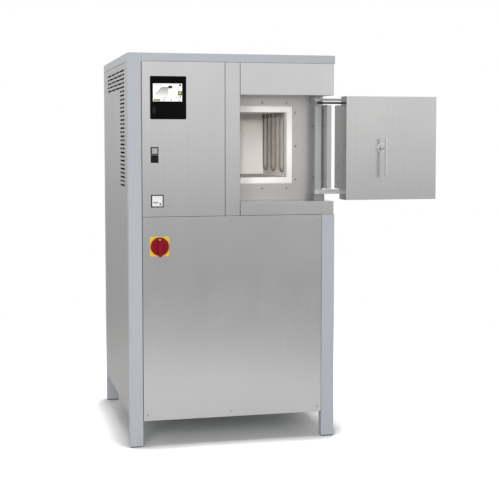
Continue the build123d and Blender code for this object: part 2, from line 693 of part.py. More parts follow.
def switchgear():
    """A mounting plate on two rails with contactors, breakers, relays and a terminal strip."""
    plate_y = 420.0
    plate = block(62, 338, plate_y, plate_y + 2, 940, 1430)
    stand = [block(x, x + 30, plate_y + 2, plate_y + 32, 882, 1430) for x in (70, 300)]
    pieces = [plate] + stand
    for rail_z in (1040.0, 1190.0, 1340.0):
        pieces.append(block(80, 320, plate_y - 7.5, plate_y, rail_z - 17.5, rail_z + 17.5))
    for index in range(2):
        x = 90.0 + index * 60.0
        body = block(x, x + 45, plate_y - 92, plate_y - 7.5, 1305, 1385)
        body -= block(x + 8, x + 37, plate_y - 93, plate_y - 80, 1330, 1360)
        pieces.append(body)
    for index in range(6):
        x = 90.0 + index * 18.5
        body = block(x, x + 17.5, plate_y - 70, plate_y - 7.5, 1148, 1232)
        lever = block(x + 5, x + 12, plate_y - 78, plate_y - 70, 1182, 1196)
        pieces.append(body + lever)
    pieces.append(block(215, 305, plate_y - 110, plate_y - 7.5, 1135, 1245))
    for index in range(20):
        x = 90.0 + index * 8.2
        pieces.append(block(x, x + 7.6, plate_y - 48, plate_y - 7.5, 1015, 1065))
    return group(pieces)


def controller_unit():
    """The controller: a flat black front with a screen pocket, and its housing behind the panel."""
    x0, x1, z0, z1 = CONTROLLER
    edge = 8.0
    bezel = block(x0, x1, -CONTROLLER_PROUD, 0, z0, z1)
    bezel = fillet(bezel.edges().filter_by(Axis.Y), 4)
    bezel = fillet(bezel.edges().group_by(Axis.Y)[0], 1.2)
    housing = block(x0 + edge, x1 - edge, 0, 62, z0 + edge, z1 - edge)
    unit = bezel + housing
    sx0, sx1, sz0, sz1 = SCREEN
    unit -= block(sx0, sx1, -CONTROLLER_PROUD - 1, -CONTROLLER_PROUD + 2, sz0, sz1)
    ux0, ux1, uz0, uz1 = USB_COVER
    return unit - block(ux0 + 2, ux1 - 2, -CONTROLLER_PROUD - 1, 14, uz0 + 5, uz1 - 3)


def touch_screen():
    x0, x1, z0, z1 = SCREEN
    return block(x0, x1, -CONTROLLER_PROUD + 0.4, -CONTROLLER_PROUD + 2, z0, z1)


def usb_cover():
    """The small flap over the data socket, with a hinge barrel along its lower edge."""
    x0, x1, z0, z1 = USB_COVER
    front = -CONTROLLER_PROUD - 2.3
    flap = block(x0, x1, front, front + 2.0, z0, z1)
    flap = fillet(flap.edges().filter_by(Axis.Y).group_by(Axis.Z)[-1], 2)
    return flap + rod_x(USB_HINGE_Y, USB_HINGE_Z, x0, x1, 1.2)


def switch_frame(z):
    """A square bezel with a square neck through the panel and a contact block behind it."""
    half = SWITCH_SIDE / 2 - 0.4
    frame = block(SWITCH_X - half, SWITCH_X + half, -4, 0, z - half, z + half)
    frame = fillet(frame.edges().group_by(Axis.Y)[0], 1)
    neck = SWITCH_NECK
    return frame + block(SWITCH_X - neck, SWITCH_X + neck, 0, 62, z - neck, z + neck)


def switch_frames():
    indicator = switch_frame(INDICATOR_Z)
    indicator -= block(SWITCH_X - 11, SWITCH_X + 11, -5, -1.5, INDICATOR_Z - 11, INDICATOR_Z + 11)
    rocker = switch_frame(ROCKER_Z)
    well = block(SWITCH_X - 8, SWITCH_X + 8, -5, 12, ROCKER_Z - 11, ROCKER_Z + 11)
    rocker -= well
    reach = ROCKER_PIN_REACH + 0.4
    bore = ROCKER_PIN_RADIUS + RUNNING_CLEARANCE
    rocker -= rod_x(ROCKER_AXIS_Y, ROCKER_Z, SWITCH_X - reach, SWITCH_X + reach, bore)
    return group([indicator, rocker])


def indicator_lens():
    """The lamp's square lens, slightly domed at its edges."""
    side = 10.7
    lens = block(SWITCH_X - side, SWITCH_X + side, -5.5, -1.5, INDICATOR_Z - side, INDICATOR_Z + side)
    return fillet(lens.edges().group_by(Axis.Y)[0], 1.5)


def control_rocker():
    """The rocker: a bar with a slightly hollow front, tilted so that its upper end stands out, on its pin."""
    front = -6.0
    hollow = 1.0
    back = 3.0
    half = ROCKER_HALF_HEIGHT
    with BuildPart() as rocker:
        with BuildSketch(Plane.YZ.offset(-ROCKER_HALF_WIDTH)):
            with BuildLine():
                Polyline((back, -half + 4), (front, -half), (front + hollow, 0), (front, half),
                         (back, half - 4), close=True)
            make_face()
        extrude(amount=2 * ROCKER_HALF_WIDTH)
    pin = rod_x(0, 0, -ROCKER_PIN_REACH, ROCKER_PIN_REACH, ROCKER_PIN_RADIUS)
    return Pos(SWITCH_X, ROCKER_AXIS_Y, ROCKER_Z) * Rot(ROCKER_TILT, 0, 0) * (rocker.part + pin)


def hour_meter():
    """A square counter: front frame with a sunk face, and a round-cornered body behind the panel."""
    half = METER_SIDE / 2
    frame = block(METER_X - half, METER_X + half, -4, 0, METER_Z - half, METER_Z + half)
    frame = fillet(frame.edges().group_by(Axis.Y)[0], 1.2)
    face = half - 4
    frame -= block(METER_X - face, METER_X + face, -5, -2.8, METER_Z - face, METER_Z + face)
    body = half - 2.4
    return frame + block(METER_X - body, METER_X + body, 0, 42, METER_Z - body, METER_Z + body)


def main_switch_plate():
    half = MAIN_PLATE_SIDE / 2
    plate = block(MAIN_SWITCH_X - half, MAIN_SWITCH_X + half, -MAIN_PLATE_THICK, 0,
                  MAIN_SWITCH_Z - half, MAIN_SWITCH_Z + half)
    plate = fillet(plate.edges().filter_by(Axis.Y), 5)
    plate = fillet(plate.edges().group_by(Axis.Y)[0], 1)
    return plate - rod_y(MAIN_SWITCH_X, MAIN_SWITCH_Z, -MAIN_PLATE_THICK - 1, 1, 10)


def main_switch_body():
    """The switch block behind the panel, bored for the knob's shaft."""
    body = block(MAIN_SWITCH_X - 32, MAIN_SWITCH_X + 32, 12, 78, MAIN_SWITCH_Z - 34, MAIN_SWITCH_Z + 34)
    body += rod_y(MAIN_SWITCH_X, MAIN_SWITCH_Z, SHEET, 12, 15)
    return body - rod_y(MAIN_SWITCH_X, MAIN_SWITCH_Z, 0, 60, 5 + RUNNING_CLEARANCE)


def main_switch_knob():
    """The rotary handle: a disc, a ridge grip whose nose passes the disc's edge below, its shaft."""
    back = -MAIN_PLATE_THICK - 0.5
    disc = rod_y(MAIN_SWITCH_X, MAIN_SWITCH_Z, back - 9, back, MAIN_KNOB_RADIUS)
    disc = fillet(disc.edges().group_by(Axis.Y)[0], 3)
    with BuildPart() as grip:
        with BuildSketch(Plane.XZ.offset(-(back - 9))):
            with Locations((MAIN_SWITCH_X, MAIN_SWITCH_Z + 8)):
                Circle(10)
            with Locations((MAIN_SWITCH_X, MAIN_SWITCH_Z - 32)):
                Circle(7.5)
            make_hull()
        extrude(amount=18, taper=5)
    shaft = rod_y(MAIN_SWITCH_X, MAIN_SWITCH_Z, back, 55, 5)
    return disc + grip.part + shaft


def cable_gland():
    """The mains cable gland: threaded neck, hexagon and domed cap nut, closed by its seal."""
    neck = rod_y(GLAND_X, GLAND_Z, DEPTH - 14, DEPTH, GLAND_RADIUS - 0.2)
    lock = Pos(GLAND_X, DEPTH - 4.5, GLAND_Z) * Rot(90, 0, 0) * extrude(RegularPolygon(22, 6), 3, both=True)
    hexagon = Pos(GLAND_X, DEPTH + 4, GLAND_Z) * Rot(90, 0, 0) * extrude(RegularPolygon(23, 6), 4, both=True)
    cap = rod_y(GLAND_X, GLAND_Z, DEPTH + 8, DEPTH + 24, 19)
    cap = chamfer(cap.edges().group_by(Axis.Y)[-1], 5)
    return neck + lock + hexagon + cap - rod_y(GLAND_X, GLAND_Z, DEPTH + 14, DEPTH + 25, 9)


def fan_housing():
    """A square axial fan frame with its motor mount spokes."""
    y1 = DEPTH - SHEET
    y0 = y1 - FAN_DEPTH
    half = FAN_SIDE / 2
    frame = block(FAN_X - half, FAN_X + half, y0, y1, FAN_Z - half, FAN_Z + half)
    frame = fillet(frame.edges().filter_by(Axis.Y), 5)
    frame -= rod_y(FAN_X, FAN_Z, y0 - 1, y1 + 1, FAN_RADIUS + 1.5)
    for angle in (45, 135):
        spoke = Box(2 * (FAN_RADIUS + 3), 4, 7)
        frame += Pos(FAN_X, y0 + 2, FAN_Z) * Rot(0, angle, 0) * spoke
    frame += rod_y(FAN_X, FAN_Z, y0, y0 + 4, FAN_HUB_RADIUS)
    return frame + rod_y(FAN_X, FAN_Z, y0 + 4, y1 - 9, 3)


def fan_rotor():
    """The fan wheel: a hub with pitched blades, which turns on the housing's spindle."""
    y1 = DEPTH - SHEET - 4
    y0 = DEPTH - SHEET - FAN_DEPTH + 6
    hub = rod_y(FAN_X, FAN_Z, y0, y1, FAN_HUB_RADIUS)
    rotor = hub
    middle = (y0 + y1) / 2
    for index in range(FAN_BLADES):
        angle = index * 360.0 / FAN_BLADES
        reach = FAN_RADIUS - FAN_HUB_RADIUS + 2
        blade = Pos(FAN_HUB_RADIUS - 2 + reach / 2, 0, 0) * Rot(40, 0, 0) * Box(reach, 2, 30)
        rotor += Pos(FAN_X, middle, FAN_Z) * Rot(0, angle, 0) * blade
    return rotor - rod_y(FAN_X, FAN_Z, y0 - 1, y1 - 3, 3 + RUNNING_CLEARANCE)


# ---- swing arms ----------------------------------------------------------------------------
def swing_post():
    """The square tube between the arms, with a round stub at each end that turns in a bearing."""
    half = POST_SIDE / 2
    bottom = LOWER_ARM_Z + LOWER_ARM_THICK
    post = tube(PIVOT_X - half, PIVOT_X + half, PIVOT_Y - half, PIVOT_Y + half,
                bottom, SWING_POST_TOP, 2.5, 3)
    inner = half - 2.5
    for z in (bottom, SWING_POST_TOP - 8):
        post += block(PIVOT_X - inner, PIVOT_X + inner, PIVOT_Y - inner, PIVOT_Y + inner, z, z + 8)
    post += rod_z(PIVOT_X, PIVOT_Y, RECESS_BOTTOM + 2, bottom, STUB_RADIUS)
    return post + rod_z(PIVOT_X, PIVOT_Y, SWING_POST_TOP, RECESS_TOP + 16, STUB_RADIUS)


def swing_arm(z, thick):
    """A flat arm from the swing post to the door pivot, with a round boss at each end."""
    end_x = PIVOT_X + ARM_LENGTH
    arm = block(PIVOT_X, end_x, PIVOT_Y - ARM_WIDTH / 2, PIVOT_Y + ARM_WIDTH / 2, z, z + thick)
    arm += rod_z(PIVOT_X, PIVOT_Y, z, z + thick, BOSS_RADIUS)
    arm += rod_z(end_x, PIVOT_Y, z, z + thick, BOSS_RADIUS)
    arm -= rod_z(PIVOT_X, PIVOT_Y, z - 1, z + thick + 1, STUB_RADIUS)
    return arm - rod_z(end_x, PIVOT_Y, z - 1, z + thick + 1, HINGE_PIN_RADIUS + RUNNING_CLEARANCE)


def upper_arm():
    return swing_arm(UPPER_ARM_Z, UPPER_ARM_THICK)


def lower_arm():
    return swing_arm(LOWER_ARM_Z, LOWER_ARM_THICK)


def guide_rod():
    """The rod beside the upper arm that keeps the door parallel, with an eye at each end."""
    end_x = PIVOT_X + ARM_LENGTH
    z0 = GUIDE_Z - 4.5
    z1 = GUIDE_Z + 4.5
    rod = rod_x(GUIDE_Y, GUIDE_Z, PIVOT_X + 5, end_x - 5, GUIDE_ROD_RADIUS)
    for x in (PIVOT_X, end_x):
        rod += rod_z(x, GUIDE_Y, z0, z1, GUIDE_EYE_RADIUS)
    rod -= rod_z(PIVOT_X, GUIDE_Y, z0 - 1, z1 + 1, GUIDE_PIN_RADIUS + RUNNING_CLEARANCE)
    return rod - rod_z(end_x, GUIDE_Y, z0 - 1, z1 + 1, GUIDE_PIN_RADIUS + OPEN_PIVOT_CLEARANCE)


# ---- door ----------------------------------------------------------------------------------
def opened(shape):
    """Moves a door piece from its closed place to the fully open one."""
    return Pos(DOOR_TRAVEL, 0, 0) * shape


def door_pan():
    """The folded front of the door: deep left flange notched for the arms, shallow right flange."""
    x0, x1 = DOOR_LEFT, DOOR_RIGHT
    z0, z1 = DOOR_BOTTOM, DOOR_TOP
    pan = block(x0, x1, 0, DOOR_FLANGE, z0, z1)
    pan = fillet(pan.edges().group_by(Axis.Y)[0], 2.5)
    pan -= block(x0 + SHEET, x1 - SHEET, SHEET, DOOR_FLANGE + 1, z0 + SHEET, z1 - SHEET)
    pan -= block(x1 - SHEET - 1, x1 + 1, DOOR_RIGHT_FLANGE, DOOR_FLANGE + 1, z0 - 1, z1 + 1)
    pan += block(x0, x0 + SHEET, DOOR_FLANGE, DOOR_LEFT_FLANGE, z0 + 8, z1 - 8)
    pan -= block(x0 - 1, x0 + SHEET + 1, GUIDE_Y - 13, DOOR_LEFT_FLANGE + 1, CARRIER_TOP + 1, z1 - SHEET)
    pan -= block(x0 - 1, x0 + SHEET + 1, DOOR_FLANGE + 1, DOOR_LEFT_FLANGE + 1, z0 - 1, CARRIER_BOTTOM - 1)
    pan -= block(x0 - 1, x0 + SHEET + 1, LATCH_FRONT - 0.6, LATCH_BACK + 0.6,
                 LATCH_Z - 0.6, LATCH_Z + LATCH_HEIGHT + 0.6)
    pan -= rod_y(HANDLE_X, HANDLE_Z, -1, 3, SHAFT_RADIUS + 1)
    return opened(pan)


def door_carrier():
    """The steel box, open at the back, that holds the door's insulation."""
    wall = SHEET
    x0, x1, z0, z1 = CARRIER_LEFT, CARRIER_RIGHT, CARRIER_BOTTOM, CARRIER_TOP
    box = block(x0, x1, CARRIER_FRONT, CARRIER_BACK, z0, z1)
    box = fillet(box.edges().filter_by(Axis.Y), 2)
    box -= block(x0 + wall, x1 - wall, CARRIER_FRONT + wall, CARRIER_BACK + 1, z0 + wall, z1 - wall)
    return opened(box)


def door_insulation():
    """The white fibre block of the door, with the raised plug that enters the chamber mouth."""
    wall = SHEET
    fibre = block(CARRIER_LEFT + wall, CARRIER_RIGHT - wall, CARRIER_FRONT + wall, PLUG_FACE,
                  CARRIER_BOTTOM + wall, CARRIER_TOP - wall)
    fibre = chamfer(fibre.edges().group_by(Axis.Y)[-1], 3)
    c = PLUG_CLEARANCE
    plug = block(MOUTH_LEFT + c, MOUTH_RIGHT - c, PLUG_FACE - 1, PLUG_FACE + PLUG_DEPTH,
                 MOUTH_BOTTOM + c, MOUTH_TOP - c)
    plug = chamfer(plug.edges().group_by(Axis.Y)[-1], 4)
    return opened(fibre + plug)


def carrier_feet():
    """The four feet between the door's front and its carrier box."""
    feet = []
    for x in (CARRIER_LEFT + 6, CARRIER_RIGHT - 36):
        for z in (CARRIER_BOTTOM + 6, CARRIER_TOP - 36):
            feet.append(block(x, x + 30, SHEET, CARRIER_FRONT, z, z + 30))
    return feet


def latch_saddles():
    """The two saddles on the carrier box that the latch bar slides in."""
    play = 0.3
    saddles = []
    for x in (HANDLE_X - 110, HANDLE_X + 36):
        saddle = block(x, x + 14, LATCH_FRONT - 3, CARRIER_FRONT, LATCH_Z - 6, LATCH_Z + LATCH_HEIGHT + 6)
        saddle -= block(x - 1, x + 15, LATCH_FRONT - play, LATCH_BACK + play,
                        LATCH_Z - play, LATCH_Z + LATCH_HEIGHT + play)
        saddles.append(saddle)
    return saddles


def door_brackets():
    """The plates with the pins of the arms and the guide rod, the carrier's feet, the latch saddles."""
    x = DOOR_PIVOT_X
    upper_z = UPPER_ARM_Z + UPPER_ARM_THICK + 1
    plate = block(x - 30, x + 30, 40, PIVOT_Y + 15, upper_z, DOOR_TOP - SHEET)
    upper = plate + rod_z(x, PIVOT_Y, UPPER_ARM_Z - 1, upper_z, HINGE_PIN_RADIUS)
    lower_z = LOWER_ARM_Z + LOWER_ARM_THICK + 0.5
    plate = block(x - 30, x + 30, 60, PIVOT_Y + 15, lower_z, CARRIER_BOTTOM)
    lower = plate + rod_z(x, PIVOT_Y, LOWER_ARM_Z - 2, lower_z, HINGE_PIN_RADIUS)
    lug = block(x - 12, x + 12, GUIDE_Y - 11, GUIDE_Y + 11, CARRIER_TOP, CARRIER_TOP + 3)
    lug += rod_z(x, GUIDE_Y, CARRIER_TOP + 3, GUIDE_Z + 6, GUIDE_PIN_RADIUS)
    return opened(group([upper, lower, lug] + carrier_feet() + latch_saddles()))


def handle_rosette():
    rosette = rod_y(HANDLE_X, HANDLE_Z, -7, 0, ROSETTE_RADIUS)
    rosette = chamfer(rosette.edges().group_by(Axis.Y)[0], 2)
    return opened(rosette - rod_y(HANDLE_X, HANDLE_Z, -8, 1, SHAFT_RADIUS + RUNNING_CLEARANCE))


def gear_outline():
    """Half-tooth angles and radii of a straight-flanked pinion, as points round the axis."""
    root = PITCH_RADIUS - 1.25 * GEAR_MODULE
    tip = PITCH_RADIUS + GEAR_MODULE - TOOTH_PLAY
    step = 2 * math.pi / GEAR_TEETH
    points = []
    for index in range(GEAR_TEETH):
        centre = index * step
        for offset, radius in ((-0.32, root), (-0.12, tip), (0.12, tip), (0.32, root)):
            angle = centre + offset * step
            points.append((radius * math.sin(angle), radius * math.cos(angle)))
    return points


def handle_shaft():
    """The handle's shaft through the door front, with the pinion that drives the latch bar."""
    shaft = rod_y(HANDLE_X, HANDLE_Z, -HANDLE_STANDOFF, LATCH_BACK + 5, SHAFT_RADIUS)
    collar = rod_y(HANDLE_X, HANDLE_Z, -HANDLE_STANDOFF, -HANDLE_STANDOFF + 6, SHAFT_RADIUS + 3)
    with BuildSketch(Plane.XZ) as outline:
        with BuildLine():
            Polyline(*gear_outline(), close=True)
        make_face()
    gear = extrude(outline.sketch, amount=LATCH_BACK - LATCH_FRONT - 1)
    gear = Pos(HANDLE_X, LATCH_BACK - 0.5, HANDLE_Z) * gear
    return opened(shaft + collar + gear)


def handle_bar():
    """The flat lever on the shaft's front end, with its bolt."""
    half = HANDLE_THICK / 2
    front = -HANDLE_STANDOFF - HANDLE_DEEP
    bar = block(HANDLE_X - half, HANDLE_X + half, front, -HANDLE_STANDOFF,
                HANDLE_Z - HANDLE_BELOW, HANDLE_Z + HANDLE_ABOVE)
    bar = fillet(bar.edges().filter_by(Axis.X), 5)
    bolt = rod_y(HANDLE_X, HANDLE_Z, front - 4, front, 4.5)
    return opened(bar + bolt)


def latch_bar():
    """The sliding bolt, with rack teeth along the stretch above the pinion."""
    right = HANDLE_X + 60
    bar = block(LATCH_TIP_X, right, LATCH_FRONT, LATCH_BACK, LATCH_Z, LATCH_Z + LATCH_HEIGHT)
    pitch = math.pi * GEAR_MODULE
    depth = GEAR_MODULE + 0.6
    bar -= block(HANDLE_X - 5 * pitch, HANDLE_X + 4 * pitch, LATCH_FRONT - 1, LATCH_BACK + 1,
                 LATCH_Z - 1, LATCH_Z + depth)
    for index in range(-4, 4):
        x = HANDLE_X + (index + 0.5) * pitch
        with BuildSketch(Plane.XZ) as tooth:
            with BuildLine():
                Polyline((x - 0.30 * pitch, LATCH_Z + depth), (x + 0.30 * pitch, LATCH_Z + depth),
                         (x + 0.10 * pitch, LATCH_Z - GEAR_MODULE + TOOTH_PLAY + 0.5),
                         (x - 0.10 * pitch, LATCH_Z - GEAR_MODULE + TOOTH_PLAY + 0.5), close=True)
            make_face()
        bar += Pos(0, LATCH_BACK, 0) * extrude(tooth.sketch, amount=LATCH_BACK - LATCH_FRONT)
    return opened(bar)


# ---- screws --------------------------------------------------------------------------------
def cabinet_screws():
    """Screw heads on the front, the sides, the rear and the recess."""
    heads = []
    for x in (68.0, 394.0, 742.0):
        for z in (122.0, 862.0):
            heads.append(screw_front(x, z))
    for x in (459.0, 557.0, 657.0):
        for z in (979.0, 1319.0):
            heads.append(screw_front(x, z, RECESS_DEPTH))
    for z in (1014.0, 1148.0, 1282.0):
        heads.append(screw_front(694.0, z, RECESS_DEPTH))
    for z in (1022.0, 1228.0):
        heads.append(screw_front(768.0, z, RECESS_DEPTH))
        heads.append(screw_side(60.0, z, COLUMN_LEFT, -1))
    for x, outward in ((0.0, -1), (WIDTH, 1)):
        for y in (147.0, 788.0):
            for z in (400.0, 566.0):
                heads.append(screw_side(y, z, x, outward))
    for x in (66.0, WIDTH - 66.0):
        for z in (140.0, 800.0, 1450.0):
            heads.append(rod_y(x, z, DEPTH, DEPTH + SCREW_HEIGHT, SCREW_RADIUS))
    return group(heads)


def door_screws():
    """Flat heads on the door's left flange, which pass the recess wall with 0.6 mm to spare."""
    heads = [screw_side(55.0, DOOR_TOP - 9, DOOR_LEFT, -1, DOOR_SCREW_HEIGHT)]
    for z in (997.0, 1067.0, 1144.0):
        heads.append(screw_side(106.0, z, DOOR_LEFT, -1, DOOR_SCREW_HEIGHT))
    return opened(group(heads))


# ---- output --------------------------------------------------------------------------------
PIECES = {
    "foot_pads": foot_pads,
    "front_left_post": front_left_post,
    "front_right_post": front_right_post,
    "rear_posts": rear_posts,
    "top_frame": top_frame,
    "roof_panel": roof_panel,
    "inner_frame": inner_frame,
    "base_tray": base_tray,
    "left_side_panel": left_side_panel,
    "right_side_panel": right_side_panel,
    "rear_panel": rear_panel,
    "lower_front_panel": lower_front_panel,
    "control_panel": control_panel,
    "column_panel": column_panel,
    "header_panel": header_panel,
    "sill_panel": sill_panel,
    "recess_faceplate": recess_faceplate,
    "hinge_column": hinge_column,
    "hinge_bearings": hinge_bearings,
    "latch_keeper": latch_keeper,
    "fibre_collar": fibre_collar,
    "front_insulation": front_insulation,
    "floor_slab": floor_slab,
    "roof_slab": roof_slab,
    "wall_slabs": wall_slabs,
    "inner_casing": inner_casing,
    "heating_elements": heating_elements,
    "element_holders": element_holders,
    "busbars": busbars,
    "thermocouple": thermocouple,
    "transformer": transformer,
    "power_controller": power_controller,
    "switchgear": switchgear,
    "controller_unit": controller_unit,
    "touch_screen": touch_screen,
    "usb_cover": usb_cover,
    "switch_frames": switch_frames,
    "indicator_lens": indicator_lens,
    "control_rocker": control_rocker,
    "hour_meter": hour_meter,
    "main_switch_plate": main_switch_plate,
    "main_switch_body": main_switch_body,
    "main_switch_knob": main_switch_knob,
    "cable_gland": cable_gland,
    "fan_housing": fan_housing,
    "fan_rotor": fan_rotor,
    "swing_post": swing_post,
    "upper_arm": upper_arm,
    "lower_arm": lower_arm,
    "guide_rod": guide_rod,
    "door_pan": door_pan,
    "door_carrier": door_carrier,
    "door_insulation": door_insulation,
    "door_brackets": door_brackets,
    "handle_rosette": handle_rosette,
    "handle_shaft": handle_shaft,
    "handle_bar": handle_bar,
    "latch_bar": latch_bar,
    "cabinet_screws": cabinet_screws,
    "door_screws": door_screws,
}


def write(node, shape):
    """Moves a piece into the object's frame and writes it."""
    placed = Pos(-POST_WIDTH / 2, -POST_DEPTH / 2, 0) * shape
    export_step(placed, "parts/" + node + ".step")


os.makedirs("parts", exist_ok=True)
for name, make in PIECES.items():
    write(name, make())
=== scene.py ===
import json
import math

import bmesh
import bpy
from mathutils import Matrix, Vector


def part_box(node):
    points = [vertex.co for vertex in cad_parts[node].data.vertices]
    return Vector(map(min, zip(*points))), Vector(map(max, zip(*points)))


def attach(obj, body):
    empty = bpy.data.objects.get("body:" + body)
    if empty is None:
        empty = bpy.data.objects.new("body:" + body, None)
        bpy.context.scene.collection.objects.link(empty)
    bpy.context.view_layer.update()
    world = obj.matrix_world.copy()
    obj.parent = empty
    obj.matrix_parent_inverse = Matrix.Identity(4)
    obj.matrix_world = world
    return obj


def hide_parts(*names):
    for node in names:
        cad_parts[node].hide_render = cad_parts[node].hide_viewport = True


# Looks for the chamber furnace. Every size is in metres, in the CAD model's own frame: the origin
# is the centre of the underside of the front left foot pad, +X to the right, +Y to the rear, +Z up.

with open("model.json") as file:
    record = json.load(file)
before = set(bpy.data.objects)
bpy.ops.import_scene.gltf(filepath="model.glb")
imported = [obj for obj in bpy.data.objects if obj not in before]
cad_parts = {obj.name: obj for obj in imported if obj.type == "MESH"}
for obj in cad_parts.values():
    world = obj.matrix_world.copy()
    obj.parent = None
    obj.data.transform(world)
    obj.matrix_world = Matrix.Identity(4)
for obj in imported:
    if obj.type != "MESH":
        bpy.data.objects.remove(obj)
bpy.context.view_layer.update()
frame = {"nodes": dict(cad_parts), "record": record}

MM = 0.001
IMAGE_SIDE = 500.0

# ---- camera, fitted to the photograph ------------------------------------------------------
CAMERA_PLACE = (-0.5578, -4.2725, 1.1868)
CAMERA_YAW = math.radians(13.252)
CAMERA_PITCH = math.radians(-3.963)
CAMERA_CLIP_END = 100.0
FOCAL_PIXELS = 1135.2
SENSOR_WIDTH = 36.0
PRINCIPAL_ROW = 215.0

# ---- light ---------------------------------------------------------------------------------
WORLD_STRENGTH = 0.46
# Lamps: the chamber and recess lamps are narrow fills that reach into the door recess.
FRONT_LAMP = {
    "place": (-1.5, -4.3, 1.9),
    "aim": (0.5, 0.0, 1.1),
    "size": (2.4, 1.7),
    "power": 105.0,
}
TOP_LAMP = {
    "place": (0.3, 0.2, 4.2),
    "aim": (0.4, 0.3, 0.0),
    "size": (2.0, 2.0),
    "power": 75.0,
}
BACK_LAMP = {
    "place": (1.5, 5.2, 2.2),
    "aim": (0.4, 0.6, 0.9),
    "size": (2.4, 1.7),
    "power": 60.0,
}
CHAMBER_LAMP = {
    "place": (-0.52, -4.2, 1.45),
    "aim": (0.50, 0.3, 1.10),
    "angle": 6.2,
    "radius": 0.20,
    "power": 590.0,
}
RECESS_LAMP = {
    "place": (-1.80, -4.1, 1.30),
    "aim": (0.62, 0.25, 1.10),
    "angle": 5.6,
    "radius": 0.15,
    "power": 215.0,
}

# ---- floor ---------------------------------------------------------------------------------
FLOOR_HALF = 40.0
FLOOR_PLAIN = 0.80      # its colour for the light that it throws back
FLOOR_SEEN = 1.95       # its colour for the eye, so that it passes into the white backdrop
FLOOR_MIRRORED = 0.46   # the backdrop's strength in reflections
FLOOR_FADE = (1.3, 3.2)
CONTACT_REACH = 0.22
CONTACT_OPEN = (0.67, 0.86)
FLOOR_SHADOW = 0.45

# ---- colours, as linear values -------------------------------------------------------------
PAINT_BLUE_GREY = (0.450, 0.474, 0.514)
STEEL_FRONT = (0.665, 0.662, 0.660)
STEEL_SIDE = (0.470, 0.464, 0.458)
STEEL_DOOR = (0.672, 0.667, 0.664)
# The recess sheet is darker than the front steel as painted shade in the recess.
STEEL_RECESS = (0.525, 0.512, 0.505)
STEEL_PLAIN = (0.500, 0.500, 0.495)
FIBRE_WHITE = (0.748, 0.739, 0.727)
# The chamber's fibre: a warm tone, made paler than the white collar's as painted light in the shaded
# chamber.
FIBRE_WARM_AND_LIT = (0.880, 0.850, 0.810)
BLACK_PLASTIC = (0.0045, 0.0048, 0.0050)


# ---- node helpers --------------------------------------------------------------------------
def ramp(tree, source, start, end):
    """A clamped straight ramp of a value, from the start pair to the end pair."""
    made = tree.nodes.new("ShaderNodeMapRange")
    made.inputs["From Min"].default_value = start[0]
    made.inputs["From Max"].default_value = start[1]
    made.inputs["To Min"].default_value = end[0]
    made.inputs["To Max"].default_value = end[1]
    tree.links.new(source, made.inputs["Value"])
    return made.outputs["Result"]


def combine(tree, operation, first, second):
    """One Math node over two sources, either of which may be a plain number."""
    made = tree.nodes.new("ShaderNodeMath")
    made.operation = operation
    for index, source in enumerate((first, second)):
        if isinstance(source, float):
            made.inputs[index].default_value = source
        else:
            tree.links.new(source, made.inputs[index])
    return made.outputs[0]


